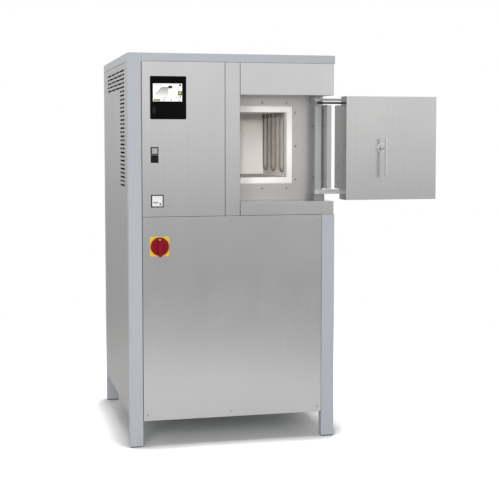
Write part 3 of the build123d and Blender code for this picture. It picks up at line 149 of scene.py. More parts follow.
# ---- material helper -----------------------------------------------------------------------
class Surface:
    """A material round one Principled shader, with short calls that add procedural detail."""

    def __init__(self, name, color, roughness, metallic=0.0):
        self.material = bpy.data.materials.new(name)
        self.material.use_nodes = True
        self.tree = self.material.node_tree
        self.shader = self.tree.nodes["Principled BSDF"]
        self.color = color
        self.roughness = roughness
        self.normal = None
        self.set("Base Color", (*color, 1.0))
        self.set("Roughness", roughness)
        self.set("Metallic", metallic)
        self.coords = self.node("ShaderNodeTexCoord").outputs["Object"]

    def set(self, socket, value):
        self.shader.inputs[socket].default_value = value

    def node(self, kind, **values):
        made = self.tree.nodes.new(kind)
        for name, value in values.items():
            setattr(made, name, value)
        return made

    def link(self, source, target):
        self.tree.links.new(source, target)

    def texture(self, kind, scale, **values):
        """A texture node over the part's own coordinates, in features per metre."""
        made = self.node(kind, **values)
        made.inputs["Scale"].default_value = scale
        self.link(self.coords, made.inputs["Vector"])
        return made

    def noise(self, scale, detail=3.0, roughness=0.5):
        """Noise with its own scale along each axis, in features per metre."""
        mapping = self.node("ShaderNodeMapping")
        mapping.inputs["Scale"].default_value = scale
        self.link(self.coords, mapping.inputs["Vector"])
        made = self.node("ShaderNodeTexNoise")
        made.inputs["Scale"].default_value = 1.0
        made.inputs["Detail"].default_value = detail
        made.inputs["Roughness"].default_value = roughness
        self.link(mapping.outputs["Vector"], made.inputs["Vector"])
        return made.outputs["Fac"]

    def spots(self, scale, reach):
        """Small round spots from a Voronoi pattern: 1 at a spot's middle, 0 beyond reach."""
        cells = self.texture("ShaderNodeTexVoronoi", scale)
        return ramp(self.tree, cells.outputs["Distance"], (0.0, reach), (1.0, 0.0))

    def bands(self, scale, axis):
        """Parallel bands across one axis, as ribs or stacked sheets."""
        made = self.texture("ShaderNodeTexWave", scale, wave_type="BANDS", bands_direction=axis)
        return made.outputs["Fac"]

    def height(self, axis, low, high):
        """0 at low and 1 at high along one axis of the part."""
        split = self.node("ShaderNodeSeparateXYZ")
        self.link(self.coords, split.inputs["Vector"])
        return ramp(self.tree, split.outputs[axis], (low, high), (0.0, 1.0))

    def tint(self, factor, other, low=0.3, high=0.7):
        """Mixes the colour so far with another one, where the factor runs from low to high."""
        mix = self.node("ShaderNodeMix", data_type="RGBA")
        self.link(ramp(self.tree, factor, (low, high), (0.0, 1.0)), mix.inputs["Factor"])
        base = self.shader.inputs["Base Color"]
        if base.is_linked:
            self.link(base.links[0].from_socket, mix.inputs["A"])
        else:
            mix.inputs["A"].default_value = (*self.color, 1.0)
        mix.inputs["B"].default_value = (*other, 1.0)
        self.link(mix.outputs["Result"], base)

    def scale_color(self, amount):
        return tuple(min(1.0, channel * amount) for channel in self.color)

    def vary_roughness(self, factor, spread, low=0.3, high=0.7):
        """Lets the roughness run from spread below its value to spread above it."""
        ends = (self.roughness - spread, self.roughness + spread)
        self.link(ramp(self.tree, factor, (low, high), ends), self.shader.inputs["Roughness"])

    def bump(self, factor, depth, strength=1.0):
        """Adds a bump of this depth, in metres, on top of the bumps so far."""
        made = self.node("ShaderNodeBump")
        made.inputs["Strength"].default_value = strength
        made.inputs["Distance"].default_value = depth
        self.link(factor, made.inputs["Height"])
        if self.normal is not None:
            self.link(self.normal, made.inputs["Normal"])
        self.normal = made.outputs["Normal"]
        self.link(self.normal, self.shader.inputs["Normal"])

    def glow(self, color, strength):
        self.set("Emission Color", (*color, 1.0))
        self.set("Emission Strength", strength)


# ---- materials -----------------------------------------------------------------------------
# The grain of brushed sheet, in strokes per metre, and how much wider its broad strokes are.
GRAIN_ACROSS = 1400.0
GRAIN_ALONG = 9.0
GRAIN_WIDE = 7.0


def brushed_steel(name, color, grain, roughness=0.30, contrast=0.05, metallic=1.0):
    """Steel or aluminium sheet: a fine grain along one axis, soft clouds and faint handling marks."""
    steel = Surface(name, color, roughness, metallic)
    scale = [GRAIN_ACROSS, GRAIN_ACROSS, GRAIN_ACROSS]
    scale["xyz".index(grain)] = GRAIN_ALONG
    fine = steel.noise(scale, detail=2.0)
    wide = steel.noise([value / GRAIN_WIDE for value in scale], detail=2.0)
    clouds = steel.noise((1.9, 1.9, 1.5), detail=1.0)
    marks = steel.noise((7.0, 7.0, 5.0), detail=2.0)
    steel.tint(fine, steel.scale_color(1.0 - contrast))
    steel.tint(wide, steel.scale_color(1.0 + contrast / 3), low=0.42, high=0.75)
    steel.tint(clouds, steel.scale_color(0.955), low=0.35, high=0.7)
    steel.vary_roughness(marks, 0.02)
    steel.bump(fine, depth=0.008 * MM, strength=0.5)
    steel.bump(clouds, depth=0.4 * MM, strength=0.3)
    return steel.material


def front_steel():
    return brushed_steel("front_steel", STEEL_FRONT, "z", roughness=0.21)


def side_steel():
    return brushed_steel("side_steel", STEEL_SIDE, "z", roughness=0.44, metallic=0.85)


def door_steel():
    return brushed_steel("door_steel", STEEL_DOOR, "z", roughness=0.22)


def recess_steel():
    """The sheet round the chamber's mouth: less metallic than the front, and darker as painted shade
    in the recess.
    """
    return brushed_steel("recess_steel", STEEL_RECESS, "z", roughness=0.30, metallic=0.60)


def casing_steel():
    return brushed_steel("casing_steel", STEEL_PLAIN, "x", roughness=0.34)


def bearing_steel():
    return brushed_steel("bearing_steel", (0.360, 0.355, 0.350), "x", roughness=0.42, contrast=0.1)


def latch_steel():
    return brushed_steel("latch_steel", STEEL_PLAIN, "x", roughness=0.22)


def screw_steel():
    steel = Surface("screw_steel", (0.52, 0.52, 0.51), 0.20, metallic=1.0)
    steel.vary_roughness(steel.noise((900, 900, 900)), 0.06)
    steel.tint(steel.noise((300, 300, 300)), (0.44, 0.43, 0.42))
    return steel.material


def galvanised():
    """Zinc-coated sheet with crystalline spangles."""
    zinc = Surface("galvanised", (0.50, 0.52, 0.52), 0.42, metallic=1.0)
    cells = zinc.texture("ShaderNodeTexVoronoi", 70.0)
    grey = zinc.node("ShaderNodeRGBToBW")
    zinc.link(cells.outputs["Color"], grey.inputs["Color"])
    zinc.tint(grey.outputs["Val"], (0.40, 0.42, 0.43), low=0.2, high=0.8)
    zinc.vary_roughness(grey.outputs["Val"], 0.08)
    return zinc.material


def painted(name, color, roughness=0.42, peel=0.06 * MM):
    """Powder coat: an even colour with a faint orange peel and a little handling dirt."""
    paint = Surface(name, color, roughness)
    paint.set("Coat Weight", 0.15)
    paint.set("Coat Roughness", 0.35)
    paint.tint(paint.noise((3.0, 3.0, 2.0), detail=4.0), paint.scale_color(0.955), low=0.45, high=0.8)
    paint.tint(paint.noise((600, 600, 600), detail=2.0), paint.scale_color(1.04), low=0.5, high=0.8)
    paint.vary_roughness(paint.noise((25.0, 25.0, 18.0), detail=4.0), 0.05)
    paint.bump(paint.noise((520.0, 520.0, 520.0), detail=2.0), depth=peel, strength=0.5)
    return paint.material


def frame_paint():
    return painted("frame_paint", PAINT_BLUE_GREY)


def roof_steel():
    return painted("roof_steel", PAINT_BLUE_GREY, roughness=0.46)


def arm_steel():
    return painted("arm_steel", (0.560, 0.570, 0.590), roughness=0.38)


def zinc_plate():
    """Zinc plating on the swing post: a greenish satin grey with darker and lighter drifts."""
    zinc = Surface("zinc_plate", (0.470, 0.492, 0.486), 0.40, metallic=0.35)
    zinc.tint(zinc.noise((40.0, 40.0, 6.0), detail=4.0), (0.395, 0.413, 0.408), low=0.4, high=0.75)
    zinc.tint(zinc.noise((260.0, 260.0, 260.0), detail=3.0), (0.500, 0.522, 0.516), low=0.55, high=0.8)
    zinc.vary_roughness(zinc.noise((80.0, 80.0, 20.0)), 0.07)
    zinc.bump(zinc.noise((900.0, 900.0, 60.0)), depth=0.02 * MM, strength=0.5)
    return zinc.material


def rod_black():
    rod = Surface("rod_black", (0.022, 0.022, 0.023), 0.45, metallic=0.4)
    rod.tint(rod.noise((60.0, 400.0, 400.0), detail=4.0), (0.055, 0.052, 0.050), low=0.5, high=0.8)
    rod.vary_roughness(rod.noise((200.0, 200.0, 200.0)), 0.08)
    return rod.material


def handle_chrome():
    chrome = Surface("handle_chrome", (0.780, 0.780, 0.775), 0.27, metallic=1.0)
    chrome.vary_roughness(chrome.noise((120.0, 120.0, 60.0), detail=4.0), 0.03)
    chrome.tint(chrome.noise((1600.0, 1600.0, 30.0), detail=2.0), (0.720, 0.720, 0.715))
    return chrome.material


def fibre(name, color, stain):
    """Vacuum-formed fibre: matt, finely felted, with small pits painted darker as shade in them, and
    faint warm drifts.
    """
    board = Surface(name, color, 0.95)
    board.set("Specular IOR Level", 0.15)
    felt = board.noise((420.0, 420.0, 420.0), detail=6.0, roughness=0.65)
    strands = board.noise((900.0, 160.0, 500.0), detail=4.0, roughness=0.7)
    board.tint(board.noise((7.0, 7.0, 7.0), detail=4.0), stain, low=0.45, high=0.85)
    board.tint(felt, board.scale_color(0.96), low=0.5, high=0.8)
    # Painted shade: the pits are darkened as well as dented by the bump below.
    board.tint(board.spots(130.0, 0.16), board.scale_color(0.88), low=0.2, high=1.0)
    board.bump(felt, depth=0.5 * MM, strength=0.5)
    board.bump(strands, depth=0.3 * MM, strength=0.5)
    board.bump(board.spots(130.0, 0.16), depth=0.5 * MM, strength=-0.6)
    return board.material


def white_fibre():
    return fibre("white_fibre", FIBRE_WHITE, (0.92, 0.90, 0.87))


def chamber_fibre():
    # Painted light: the chamber's fibre is paler than the collar's to brighten the shaded chamber.
    return fibre("chamber_fibre", FIBRE_WARM_AND_LIT, (0.86, 0.82, 0.76))


def element_rod():
    """Dark disilicide with a thin glassy skin and lighter bloom in places."""
    rod = Surface("element_rod", (0.225, 0.197, 0.170), 0.42, metallic=0.2)
    rod.tint(rod.noise((90.0, 90.0, 40.0), detail=4.0), (0.30, 0.26, 0.215), low=0.5, high=0.85)
    rod.vary_roughness(rod.noise((150.0, 150.0, 150.0)), 0.1)
    rod.bump(rod.noise((700.0, 700.0, 700.0), detail=3.0), depth=0.1 * MM, strength=0.6)
    return rod.material


def holder_ceramic():
    cream = Surface("holder_ceramic", (0.75, 0.71, 0.63), 0.7)
    cream.tint(cream.noise((60.0, 60.0, 60.0), detail=4.0), (0.66, 0.61, 0.53))
    cream.bump(cream.noise((500.0, 500.0, 500.0)), depth=0.2 * MM, strength=0.5)
    return cream.material


def sheath_ceramic():
    ivory = Surface("sheath_ceramic", (0.80, 0.77, 0.69), 0.5)
    ivory.tint(ivory.noise((80.0, 30.0, 80.0), detail=3.0), (0.72, 0.67, 0.58))
    ivory.bump(ivory.noise((600.0, 600.0, 600.0)), depth=0.08 * MM, strength=0.5)
    return ivory.material


def busbar_aluminium():
    return brushed_steel("busbar_aluminium", (0.70, 0.71, 0.72), "y", roughness=0.32)


def transformer_iron():
    """Varnished laminations: thin stacked sheets that show as lines."""
    iron = Surface("transformer_iron", (0.10, 0.085, 0.075), 0.38, metallic=0.3)
    sheets = iron.bands(320.0, "Y")
    iron.tint(sheets, (0.05, 0.045, 0.04))
    iron.bump(sheets, depth=0.2 * MM, strength=0.6)
    return iron.material


def moulded(name, color, roughness=0.45, grain=0.04 * MM, shine=0.35):
    """Moulded plastic with a spark-eroded grain and slightly uneven gloss."""
    plastic = Surface(name, color, roughness)
    plastic.set("Specular IOR Level", shine)
    lighter = tuple(min(1.0, channel * 1.08 + 0.001) for channel in color)
    plastic.tint(plastic.noise((18.0, 18.0, 18.0), detail=4.0), lighter, low=0.45, high=0.8)
    plastic.vary_roughness(plastic.noise((140.0, 140.0, 140.0), detail=4.0), 0.05)
    plastic.bump(plastic.noise((1500.0, 1500.0, 1500.0), detail=2.0), depth=grain, strength=0.6)
    return plastic.material


def rubber_pads():
    return moulded("rubber_pads", (0.035, 0.035, 0.037), roughness=0.75, grain=0.1 * MM)


def electrical_grey():
    return moulded("electrical_grey", (0.50, 0.51, 0.51), roughness=0.5)


def black_front():
    return moulded("black_front", BLACK_PLASTIC, roughness=0.55, grain=0.01 * MM, shine=0.01)


def black_trim():
    return moulded("black_trim", (0.012, 0.012, 0.013), roughness=0.42, shine=0.15)


def lamp_lens():
    """The unlit lamp: a grey lens over fine prism ribs."""
    lens = Surface("lamp_lens", (0.42, 0.43, 0.43), 0.22)
    lens.set("Coat Weight", 0.5)
    lens.set("Coat Roughness", 0.08)
    ribs = lens.bands(180.0, "X")
    lens.tint(ribs, (0.33, 0.34, 0.34))
    lens.bump(ribs, depth=0.2 * MM, strength=0.5)
    return lens.material


def meter_case():
    return moulded("meter_case", (0.022, 0.022, 0.023), roughness=0.35)


def yellow_plate():
    return moulded("yellow_plate", (0.86, 0.58, 0.015), roughness=0.4)


def switch_block():
    return moulded("switch_block", (0.07, 0.07, 0.07), roughness=0.5)


def red_knob():
    return moulded("red_knob", (0.235, 0.006, 0.016), roughness=0.42, shine=0.18)


def gland_plastic():
    return moulded("gland_plastic", (0.26, 0.27, 0.28), roughness=0.5)


def fan_black():
    return moulded("fan_black", (0.028, 0.028, 0.028), roughness=0.5)


def screen_glass():
    """The lit display behind glass: an even off-white glow under a clear coat."""
    glass = Surface("screen_glass", (0.78, 0.79, 0.77), 0.12)
    glass.set("Coat Weight", 0.6)
    glass.set("Coat Roughness", 0.04)
    glass.glow((0.93, 0.94, 0.90), 0.30)
    glass.tint(glass.noise((30.0, 30.0, 30.0), detail=2.0), (0.74, 0.75, 0.74), low=0.4, high=0.8)
    return glass.material


LOOKS = {
    "rubber_pads": rubber_pads,
    "frame_paint": frame_paint,
    "roof_steel": roof_steel,
    "galvanised": galvanised,
    "side_steel": side_steel,
    "front_steel": front_steel,
    "recess_steel": recess_steel,
    "bearing_steel": bearing_steel,
    "white_fibre": white_fibre,
    "chamber_fibre": chamber_fibre,
    "casing_steel": casing_steel,
    "element_rod": element_rod,
    "holder_ceramic": holder_ceramic,
    "busbar_aluminium": busbar_aluminium,
    "sheath_ceramic": sheath_ceramic,
    "transformer_iron": transformer_iron,
    "electrical_grey": electrical_grey,
    "black_front": black_front,
    "screen_glass": screen_glass,
    "black_trim": black_trim,
    "lamp_lens": lamp_lens,
    "meter_case": meter_case,
    "yellow_plate": yellow_plate,
    "switch_block": switch_block,
    "red_knob": red_knob,
    "gland_plastic": gland_plastic,
    "fan_black": fan_black,
    "zinc_plate": zinc_plate,
    "arm_steel": arm_steel,
    "rod_black": rod_black,
    "door_steel": door_steel,
    "handle_chrome": handle_chrome,
    "latch_steel": latch_steel,
    "screw_steel": screw_steel,
}
MATERIALS = {slot: make() for slot, make in LOOKS.items()}


def dress_nodes():
    """Gives every CAD node the material of its slot."""
    for entry in frame["record"]["subparts"]:
        data = frame["nodes"][entry["node"]].data
        data.materials.clear()
        data.materials.append(MATERIALS[entry["material_slot"]])


# ---- piece helpers -------------------------------------------------------------------------
def place_piece(name, mesh, body, material):
    """Puts a finished mesh in the scene, riding on a body."""
    piece = bpy.data.objects.new(name, mesh)
    bpy.context.scene.collection.objects.link(piece)
    mesh.materials.append(material)
    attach(piece, body)
    return piece


def mesh_from(name, build):
    """A mesh made by a function that fills a bmesh."""
    shape = bmesh.new()
    build(shape)
    bmesh.ops.recalc_face_normals(shape, faces=shape.faces)
    mesh = bpy.data.meshes.new(name)
    shape.to_mesh(mesh)
    shape.free()
    return mesh


def add_prism(shape, outline, y_front, y_back):
    """A flat piece on the front: an outline of (x, z) points between two depths."""
    front = [shape.verts.new((x, y_front, z)) for x, z in outline]
    back = [shape.verts.new((x, y_back, z)) for x, z in outline]
    shape.faces.new(front)
    shape.faces.new(list(reversed(back)))
    for index in range(len(outline)):
        after = (index + 1) % len(outline)
        shape.faces.new((front[index], back[index], back[after], front[after]))


def prisms_mesh(name, outlines, y_front, y_back):
    """One mesh of flat pieces that share their front and back."""

    def build(shape):
        for outline in outlines:
            add_prism(shape, outline, y_front, y_back)

    return mesh_from(name, build)


def rectangle(x0, x1, z0, z1):
    return [(x0, z0), (x1, z0), (x1, z1), (x0, z1)]


def disc(x, z, radius, count=32):
    angles = [2 * math.pi * index / count for index in range(count)]
    return [(x + radius * math.cos(angle), z + radius * math.sin(angle)) for angle in angles]


def printed_ink(name, color, roughness=0.4, glow=0.0):
    """A printed or lit mark: one ink colour with a fine print grain."""
    ink = Surface(name, color, roughness)
    ink.tint(ink.noise((900.0, 900.0, 900.0)), ink.scale_color(0.92))
    ink.glow(color, glow)
    return ink.material


# ---- touch screen content ------------------------------------------------------------------
# Places on the screen are shares of its width and height, from its lower left corner.
SCREEN_PROUD = 0.12 * MM
SCREEN_LAYER = 0.03 * MM
LINE_PROUD = 0.17 * MM
FLASH_PROUD = 0.32 * MM
LINE_HALF_WIDTH = 0.4 * MM
INK_ROUGHNESS = 0.2

SCREEN_BARS = {
    "screen_grey": {
        "color": (0.36, 0.37, 0.36),
        "glow": 0.05,
        "bars": (
            (0.03, 0.30, 0.90, 0.93),
            (0.34, 0.46, 0.20, 0.23),
            (0.76, 0.84, 0.20, 0.23),
            (0.86, 0.875, 0.12, 0.97),
            (0.02, 0.85, 0.125, 0.135),
        ),
    },
    "screen_dark": {
        "color": (0.030, 0.032, 0.034),
        "glow": 0.0,
        "bars": (
            (0.53, 0.66, 0.73, 0.88),
            (0.865, 0.995, 0.34, 0.58),
            (0.905, 0.965, 0.86, 0.97),
            (0.92, 0.955, 0.20, 0.30),
            (0.36, 0.40, 0.045, 0.10),
            (0.61, 0.65, 0.045, 0.10),
            (0.88, 0.92, 0.045, 0.10),
        ),
    },
    "screen_ochre": {
        "color": (0.22, 0.20, 0.07),
        "glow": 0.05,
        "bars": ((0.02, 0.25, 0.03, 0.115),),
    },
}
CURVE = ((0.08, 0.42), (0.30, 0.80), (0.53, 0.80))
CURVE_FOOT = ((0.53, 0.26), (0.08, 0.26))
FILL_FADE = (0.30, 0.80)
FLASH = (
    (0.930, 0.55),
    (0.895, 0.44),
    (0.925, 0.44),
    (0.905, 0.36),
    (0.97, 0.48),
    (0.938, 0.48),
    (0.965, 0.55),
)


def screen_spot(u, v):
    """The (x, z) place of a share of the screen's width and height."""
    low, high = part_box("touch_screen")
    return low.x + u * (high.x - low.x), low.z + v * (high.z - low.z)


def screen_piece(name, outlines, proud, material):
    """Flat marks that stand a little proud of the screen's glass."""
    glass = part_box("touch_screen")[0].y
    mesh = prisms_mesh(name, outlines, glass - proud, glass)
    place_piece(name, mesh, "cabinet", material)


def screen_bars():
    """Plain bars where a display has a heading, a value box, an icon column and a lower row."""
    for index, (name, group) in enumerate(SCREEN_BARS.items()):
        outlines = []
        for u0, u1, v0, v1 in group["bars"]:
            x0, z0 = screen_spot(u0, v0)
            x1, z1 = screen_spot(u1, v1)
            outlines.append(rectangle(x0, x1, z0, z1))
        ink = printed_ink(name, group["color"], INK_ROUGHNESS, group["glow"])
        screen_piece(name, outlines, SCREEN_PROUD + index * SCREEN_LAYER, ink)


def screen_fill():
    """The field under the programme curve, darker towards the top."""
    shade = Surface("screen_fill", (0.80, 0.81, 0.79), INK_ROUGHNESS)
    low, high = [screen_spot(0, share)[1] for share in FILL_FADE]
    shade.tint(shade.height("Z", low, high), (0.22, 0.23, 0.21), low=0.0, high=1.0)
    shade.glow((0.9, 0.91, 0.88), 0.12)
    outline = [screen_spot(u, v) for u, v in CURVE + CURVE_FOOT]
    screen_piece("screen_fill", [outline], SCREEN_PROUD, shade.material)


def screen_line():
    """The programme curve: a rise and a hold."""
    points = [screen_spot(u, v) for u, v in CURVE]
    outlines = []
    for (x0, z0), (x1, z1) in zip(points, points[1:]):
        run = Vector((x1 - x0, 0, z1 - z0)).normalized()
        side = Vector((-run.z, 0, run.x)) * LINE_HALF_WIDTH
        outlines.append([
            (x0 + side.x, z0 + side.z),
            (x0 - side.x, z0 - side.z),
            (x1 - side.x, z1 - side.z),
            (x1 + side.x, z1 + side.z),
        ])
    green = printed_ink("screen_line", (0.25, 0.30, 0.10), INK_ROUGHNESS, 0.05)
    screen_piece("screen_line", outlines, LINE_PROUD, green)


def screen_flash():
    """The yellow mark in the icon column."""
    yellow = printed_ink("screen_flash", (0.80, 0.72, 0.05), INK_ROUGHNESS, 0.25)
    outline = [screen_spot(u, v) for u, v in FLASH]
    screen_piece("screen_flash", [outline], FLASH_PROUD, yellow)


# ---- hour counter --------------------------------------------------------------------------
METER_RIM = 4.3 * MM
METER_FACE_DEEP = 1.2 * MM
FACE_PROUD = 0.3 * MM
WINDOW_PROUD = 0.34 * MM
MARK_PROUD = 0.36 * MM
DIGIT_PROUD = 0.42 * MM
# Places on the face are measured from its middle, to the right and up.
RUNNING_DOT = (11 * MM, -11.5 * MM)
RUNNING_DOT_RADIUS = 3.6 * MM
TICK_COUNT = 6
TICK_FIRST = -14 * MM
TICK_PITCH = 5.0 * MM
TICK_WIDTH = 0.5 * MM
TICK_ENDS = (11 * MM, 14 * MM)
WINDOW_SIDES = (-15.5 * MM, 4.5 * MM)
WINDOW_ENDS = (-9 * MM, -2.5 * MM)
DIGITS = "00427"
DIGITS_CORNER = (-14.5 * MM, -7.9 * MM)
DIGITS_HEIGHT = 6.0 * MM
DIGITS_DEEP = 0.05 * MM


def meter_place():
    """The middle (x, z) of the counter, half its face's side, and the depth of the face."""
    low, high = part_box("hour_meter")
    centre_x = (low.x + high.x) / 2
    centre_z = (low.z + high.z) / 2
    return centre_x, centre_z, (high.x - low.x) / 2 - METER_RIM, low.y + METER_FACE_DEEP


def meter_piece(name, outlines, proud, material):
    """Flat marks that stand a little proud of the counter's face."""
    face_y = meter_place()[3]
    mesh = prisms_mesh(name, outlines, face_y - proud, face_y)
    place_piece(name, mesh, "cabinet", material)


def meter_face():
    """The square white face inside the rim."""
    centre_x, centre_z, half, _ = meter_place()
    white = moulded("meter_face_white", (0.80, 0.80, 0.78), roughness=0.35)
    outline = rectangle(centre_x - half, centre_x + half, centre_z - half, centre_z + half)
    meter_piece("meter_face", [outline], FACE_PROUD, white)


def meter_marks(ink):
    """The running-light dot and a row of plain tick marks."""
    centre_x, centre_z = meter_place()[:2]
    outlines = [disc(centre_x + RUNNING_DOT[0], centre_z + RUNNING_DOT[1], RUNNING_DOT_RADIUS)]
    for index in range(TICK_COUNT):
        x = centre_x + TICK_FIRST + index * TICK_PITCH
        low, high = [centre_z + end for end in TICK_ENDS]
        outlines.append(rectangle(x, x + TICK_WIDTH, low, high))
    meter_piece("meter_marks", outlines, MARK_PROUD, ink)


def meter_window():
    """The grey window behind the digits."""
    centre_x, centre_z = meter_place()[:2]
    left, right = [centre_x + side for side in WINDOW_SIDES]
    low, high = [centre_z + end for end in WINDOW_ENDS]
    grey = printed_ink("meter_window", (0.48, 0.48, 0.47))
    meter_piece("meter_window", [rectangle(left, right, low, high)], WINDOW_PROUD, grey)


def text_mesh(name, words, height, depth):
    """Upright lettering in the XZ plane, its lower left corner at the origin."""
    curve = bpy.data.curves.new(name, "FONT")
    curve.body = words
    curve.size = height
    curve.extrude = depth
    holder = bpy.data.objects.new(name + "_text", curve)
    bpy.context.scene.collection.objects.link(holder)
    bpy.context.view_layer.update()
    mesh = bpy.data.meshes.new_from_object(holder)
    bpy.data.objects.remove(holder)
    mesh.transform(Matrix.Rotation(math.radians(90), 4, "X"))
    mesh.materials.clear()
    return mesh


def meter_digits(ink):
    """Plain running digits."""
    centre_x, centre_z, _, face_y = meter_place()
    digits = text_mesh("meter_digits", DIGITS, DIGITS_HEIGHT, DIGITS_DEEP)
    corner = (centre_x + DIGITS_CORNER[0], face_y - DIGIT_PROUD, centre_z + DIGITS_CORNER[1])
    digits.transform(Matrix.Translation(corner))
    place_piece("meter_digits", digits, "cabinet", ink)


def hour_counter():
    """The counter's white face with its marks, window and digits."""
    dark = printed_ink("meter_ink", (0.02, 0.02, 0.02))
    meter_face()
    meter_marks(dark)
    meter_window()
    meter_digits(dark)


# ---- main switch ---------------------------------------------------------------------------
KNOB_DISC_PROUD = 9.5 * MM
DOT_RISE = 26 * MM
DOT_RADIUS = 2.6 * MM
DOT_PROUD = 0.15 * MM
DOT_DEEP = 0.5 * MM


def main_switch_dot():
    """The white index dot on the red disc; it turns with the knob."""
    low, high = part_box("main_switch_plate")
    centre_x = (low.x + high.x) / 2
    centre_z = (low.z + high.z) / 2
    disc_front = low.y - KNOB_DISC_PROUD
    outline = disc(centre_x, centre_z + DOT_RISE, DOT_RADIUS)
    mesh = prisms_mesh("main_switch_dot", [outline], disc_front - DOT_PROUD, disc_front + DOT_DEEP)
    white = printed_ink("index_white", (0.80, 0.76, 0.66))
    place_piece("main_switch_dot", mesh, "main_switch", white)


# ---- screws --------------------------------------------------------------------------------
THINNEST_HEAD = 0.5 * MM
SIDE_MARGIN = 40 * MM
BACK_HALF_Y = 400 * MM
HEAD_SEGMENTS = 24
# The head's outline as shares of its radius and height; the last two rings form the hexagon socket.
HEAD_PROFILE = (
    (1.0, 0.0),
    (1.0, 0.30),
    (0.93, 0.56),
    (0.78, 0.80),
    (0.56, 0.95),
    (0.36, 1.0),
    (0.34, 0.40),
)
SOCKET_RINGS = 2
SHARP_EDGE = math.radians(35)


def islands(mesh):
    """The low and high corners of a mesh's separate heads, without the flat discs that end them."""
    shape = bmesh.new()
    shape.from_mesh(mesh)
    reached = set()
    boxes = []
    for start in shape.verts:
        if start in reached:
            continue
        reached.add(start)
        stack = [start]
        points = []
        while stack:
            vert = stack.pop()
            points.append(vert.co.copy())
            for edge in vert.link_edges:
                other = edge.other_vert(vert)
                if other not in reached:
                    reached.add(other)
                    stack.append(other)
        low = Vector([min(point[axis] for point in points) for axis in range(3)])
        high = Vector([max(point[axis] for point in points) for axis in range(3)])
        if min(high - low) > THINNEST_HEAD:
            boxes.append((low, high))
    shape.free()
    return boxes


def hexagon_share(angle):
    """The share of its corner radius that a hexagon reaches at an angle."""
    within = (angle + math.pi / 6) % (math.pi / 3) - math.pi / 6
    return math.cos(math.pi / 6) / math.cos(within)


def add_screw(shape, foot, outward, radius, tall):
    """A domed head with a hexagon socket, seated at foot and facing outward."""
    side = outward.orthogonal().normalized()
    other = outward.cross(side)
    rings = []
    for index, (reach, rise) in enumerate(HEAD_PROFILE):
        in_socket = index >= len(HEAD_PROFILE) - SOCKET_RINGS
        ring = []
        for step in range(HEAD_SEGMENTS):
            angle = 2 * math.pi * step / HEAD_SEGMENTS
            spread = reach * radius
            if in_socket:
                spread *= hexagon_share(angle)
            sideways = (side * math.cos(angle) + other * math.sin(angle)) * spread
            ring.append(shape.verts.new(foot + outward * rise * tall + sideways))
        rings.append(ring)
    for near, far in zip(rings, rings[1:]):
        for step in range(HEAD_SEGMENTS):
            after = (step + 1) % HEAD_SEGMENTS
            shape.faces.new((near[step], near[after], far[after], far[step]))
    shape.faces.new(rings[-1])
    shape.faces.new(list(reversed(rings[0])))


def head_faces(centre, axis, body):
    """The way a head faces: to the right or rear on the cabinet's far sides, else left or front."""
    cabinet_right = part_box("rear_panel")[1].x
    far = centre.x > cabinet_right + SIDE_MARGIN if axis == 0 else centre.y > BACK_HALF_Y
    outward = Vector((0, 0, 0))
    outward[axis] = 1.0 if far and body == "cabinet" else -1.0
    return outward


def screws(node, body):
    """Detailed heads in the places of one node's plain ones."""

    def build(shape):
        for low, high in islands(frame["nodes"][node].data):
            size = high - low
            axis = min(range(3), key=lambda index: size[index])
            centre = (low + high) / 2
            outward = head_faces(centre, axis, body)
            radius = (sum(size) - size[axis]) / 4
            add_screw(shape, centre - outward * size[axis] / 2, outward, radius, size[axis])

    mesh = mesh_from(node + "_detailed", build)
    for face in mesh.polygons:
        face.use_smooth = True
    piece = place_piece(node + "_detailed", mesh, body, MATERIALS["screw_steel"])
    mesh.set_sharp_from_angle(angle=SHARP_EDGE)
    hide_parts(node)


# ---- frame joint ---------------------------------------------------------------------------
SEAM_HALF = 0.3 * MM
SEAM_PROUD = 0.12 * MM
SEAM_DEEP = 0.5 * MM
SEAM_BELOW_TOP = 1.5 * MM


def frame_seam():
    """The fine joint line where the top band's front meets the left post."""
    low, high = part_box("top_frame")
    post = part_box("front_left_post")[1].x
    outline = rectangle(post - SEAM_HALF, post + SEAM_HALF, low.z, high.z - SEAM_BELOW_TOP)
    mesh = prisms_mesh("frame_seam", [outline], low.y - SEAM_PROUD, low.y + SEAM_DEEP)
    ink = printed_ink("seam_shade", (0.20, 0.21, 0.23))
    place_piece("frame_seam", mesh, "cabinet", ink)


# ---- studio --------------------------------------------------------------------------------
def seen_directly(tree):
    """1 for camera, glossy and transmission rays, and 0 for the rays that carry the light."""
    path = tree.nodes.new("ShaderNodeLightPath")
    total = path.outputs["Is Camera Ray"]
    for name in ("Is Glossy Ray", "Is Transmission Ray"):
        total = combine(tree, "MAXIMUM", total, path.outputs[name])
    return total


def floor_fade(tree):
    """0 round the object and 1 farther out, where the floor passes into the backdrop."""
    coords = tree.nodes.new("ShaderNodeTexCoord")
    length = tree.nodes.new("ShaderNodeVectorMath")
    length.operation = "LENGTH"
    tree.links.new(coords.outputs["Object"], length.inputs[0])
    return ramp(tree, length.outputs["Value"], FLOOR_FADE, (0.0, 1.0))


def contact_shade(tree):
    """The share of light that the floor keeps close under the cabinet."""
    closeness = tree.nodes.new("ShaderNodeAmbientOcclusion")
    closeness.inputs["Distance"].default_value = CONTACT_REACH
    return ramp(tree, closeness.outputs["AO"], CONTACT_OPEN, (FLOOR_SHADOW, 1.0))


def floor_color(tree, camera_only):
    """The floor's grey: plain for the light, and for the eye paler with the contact shade in it."""
    pale = ramp(tree, camera_only, (0.0, 1.0), (FLOOR_PLAIN, FLOOR_SEEN))
    shade = combine(tree, "SUBTRACT", 1.0, contact_shade(tree))
    lost = combine(tree, "MULTIPLY", camera_only, shade)
    return combine(tree, "MULTIPLY", pale, combine(tree, "SUBTRACT", 1.0, lost))


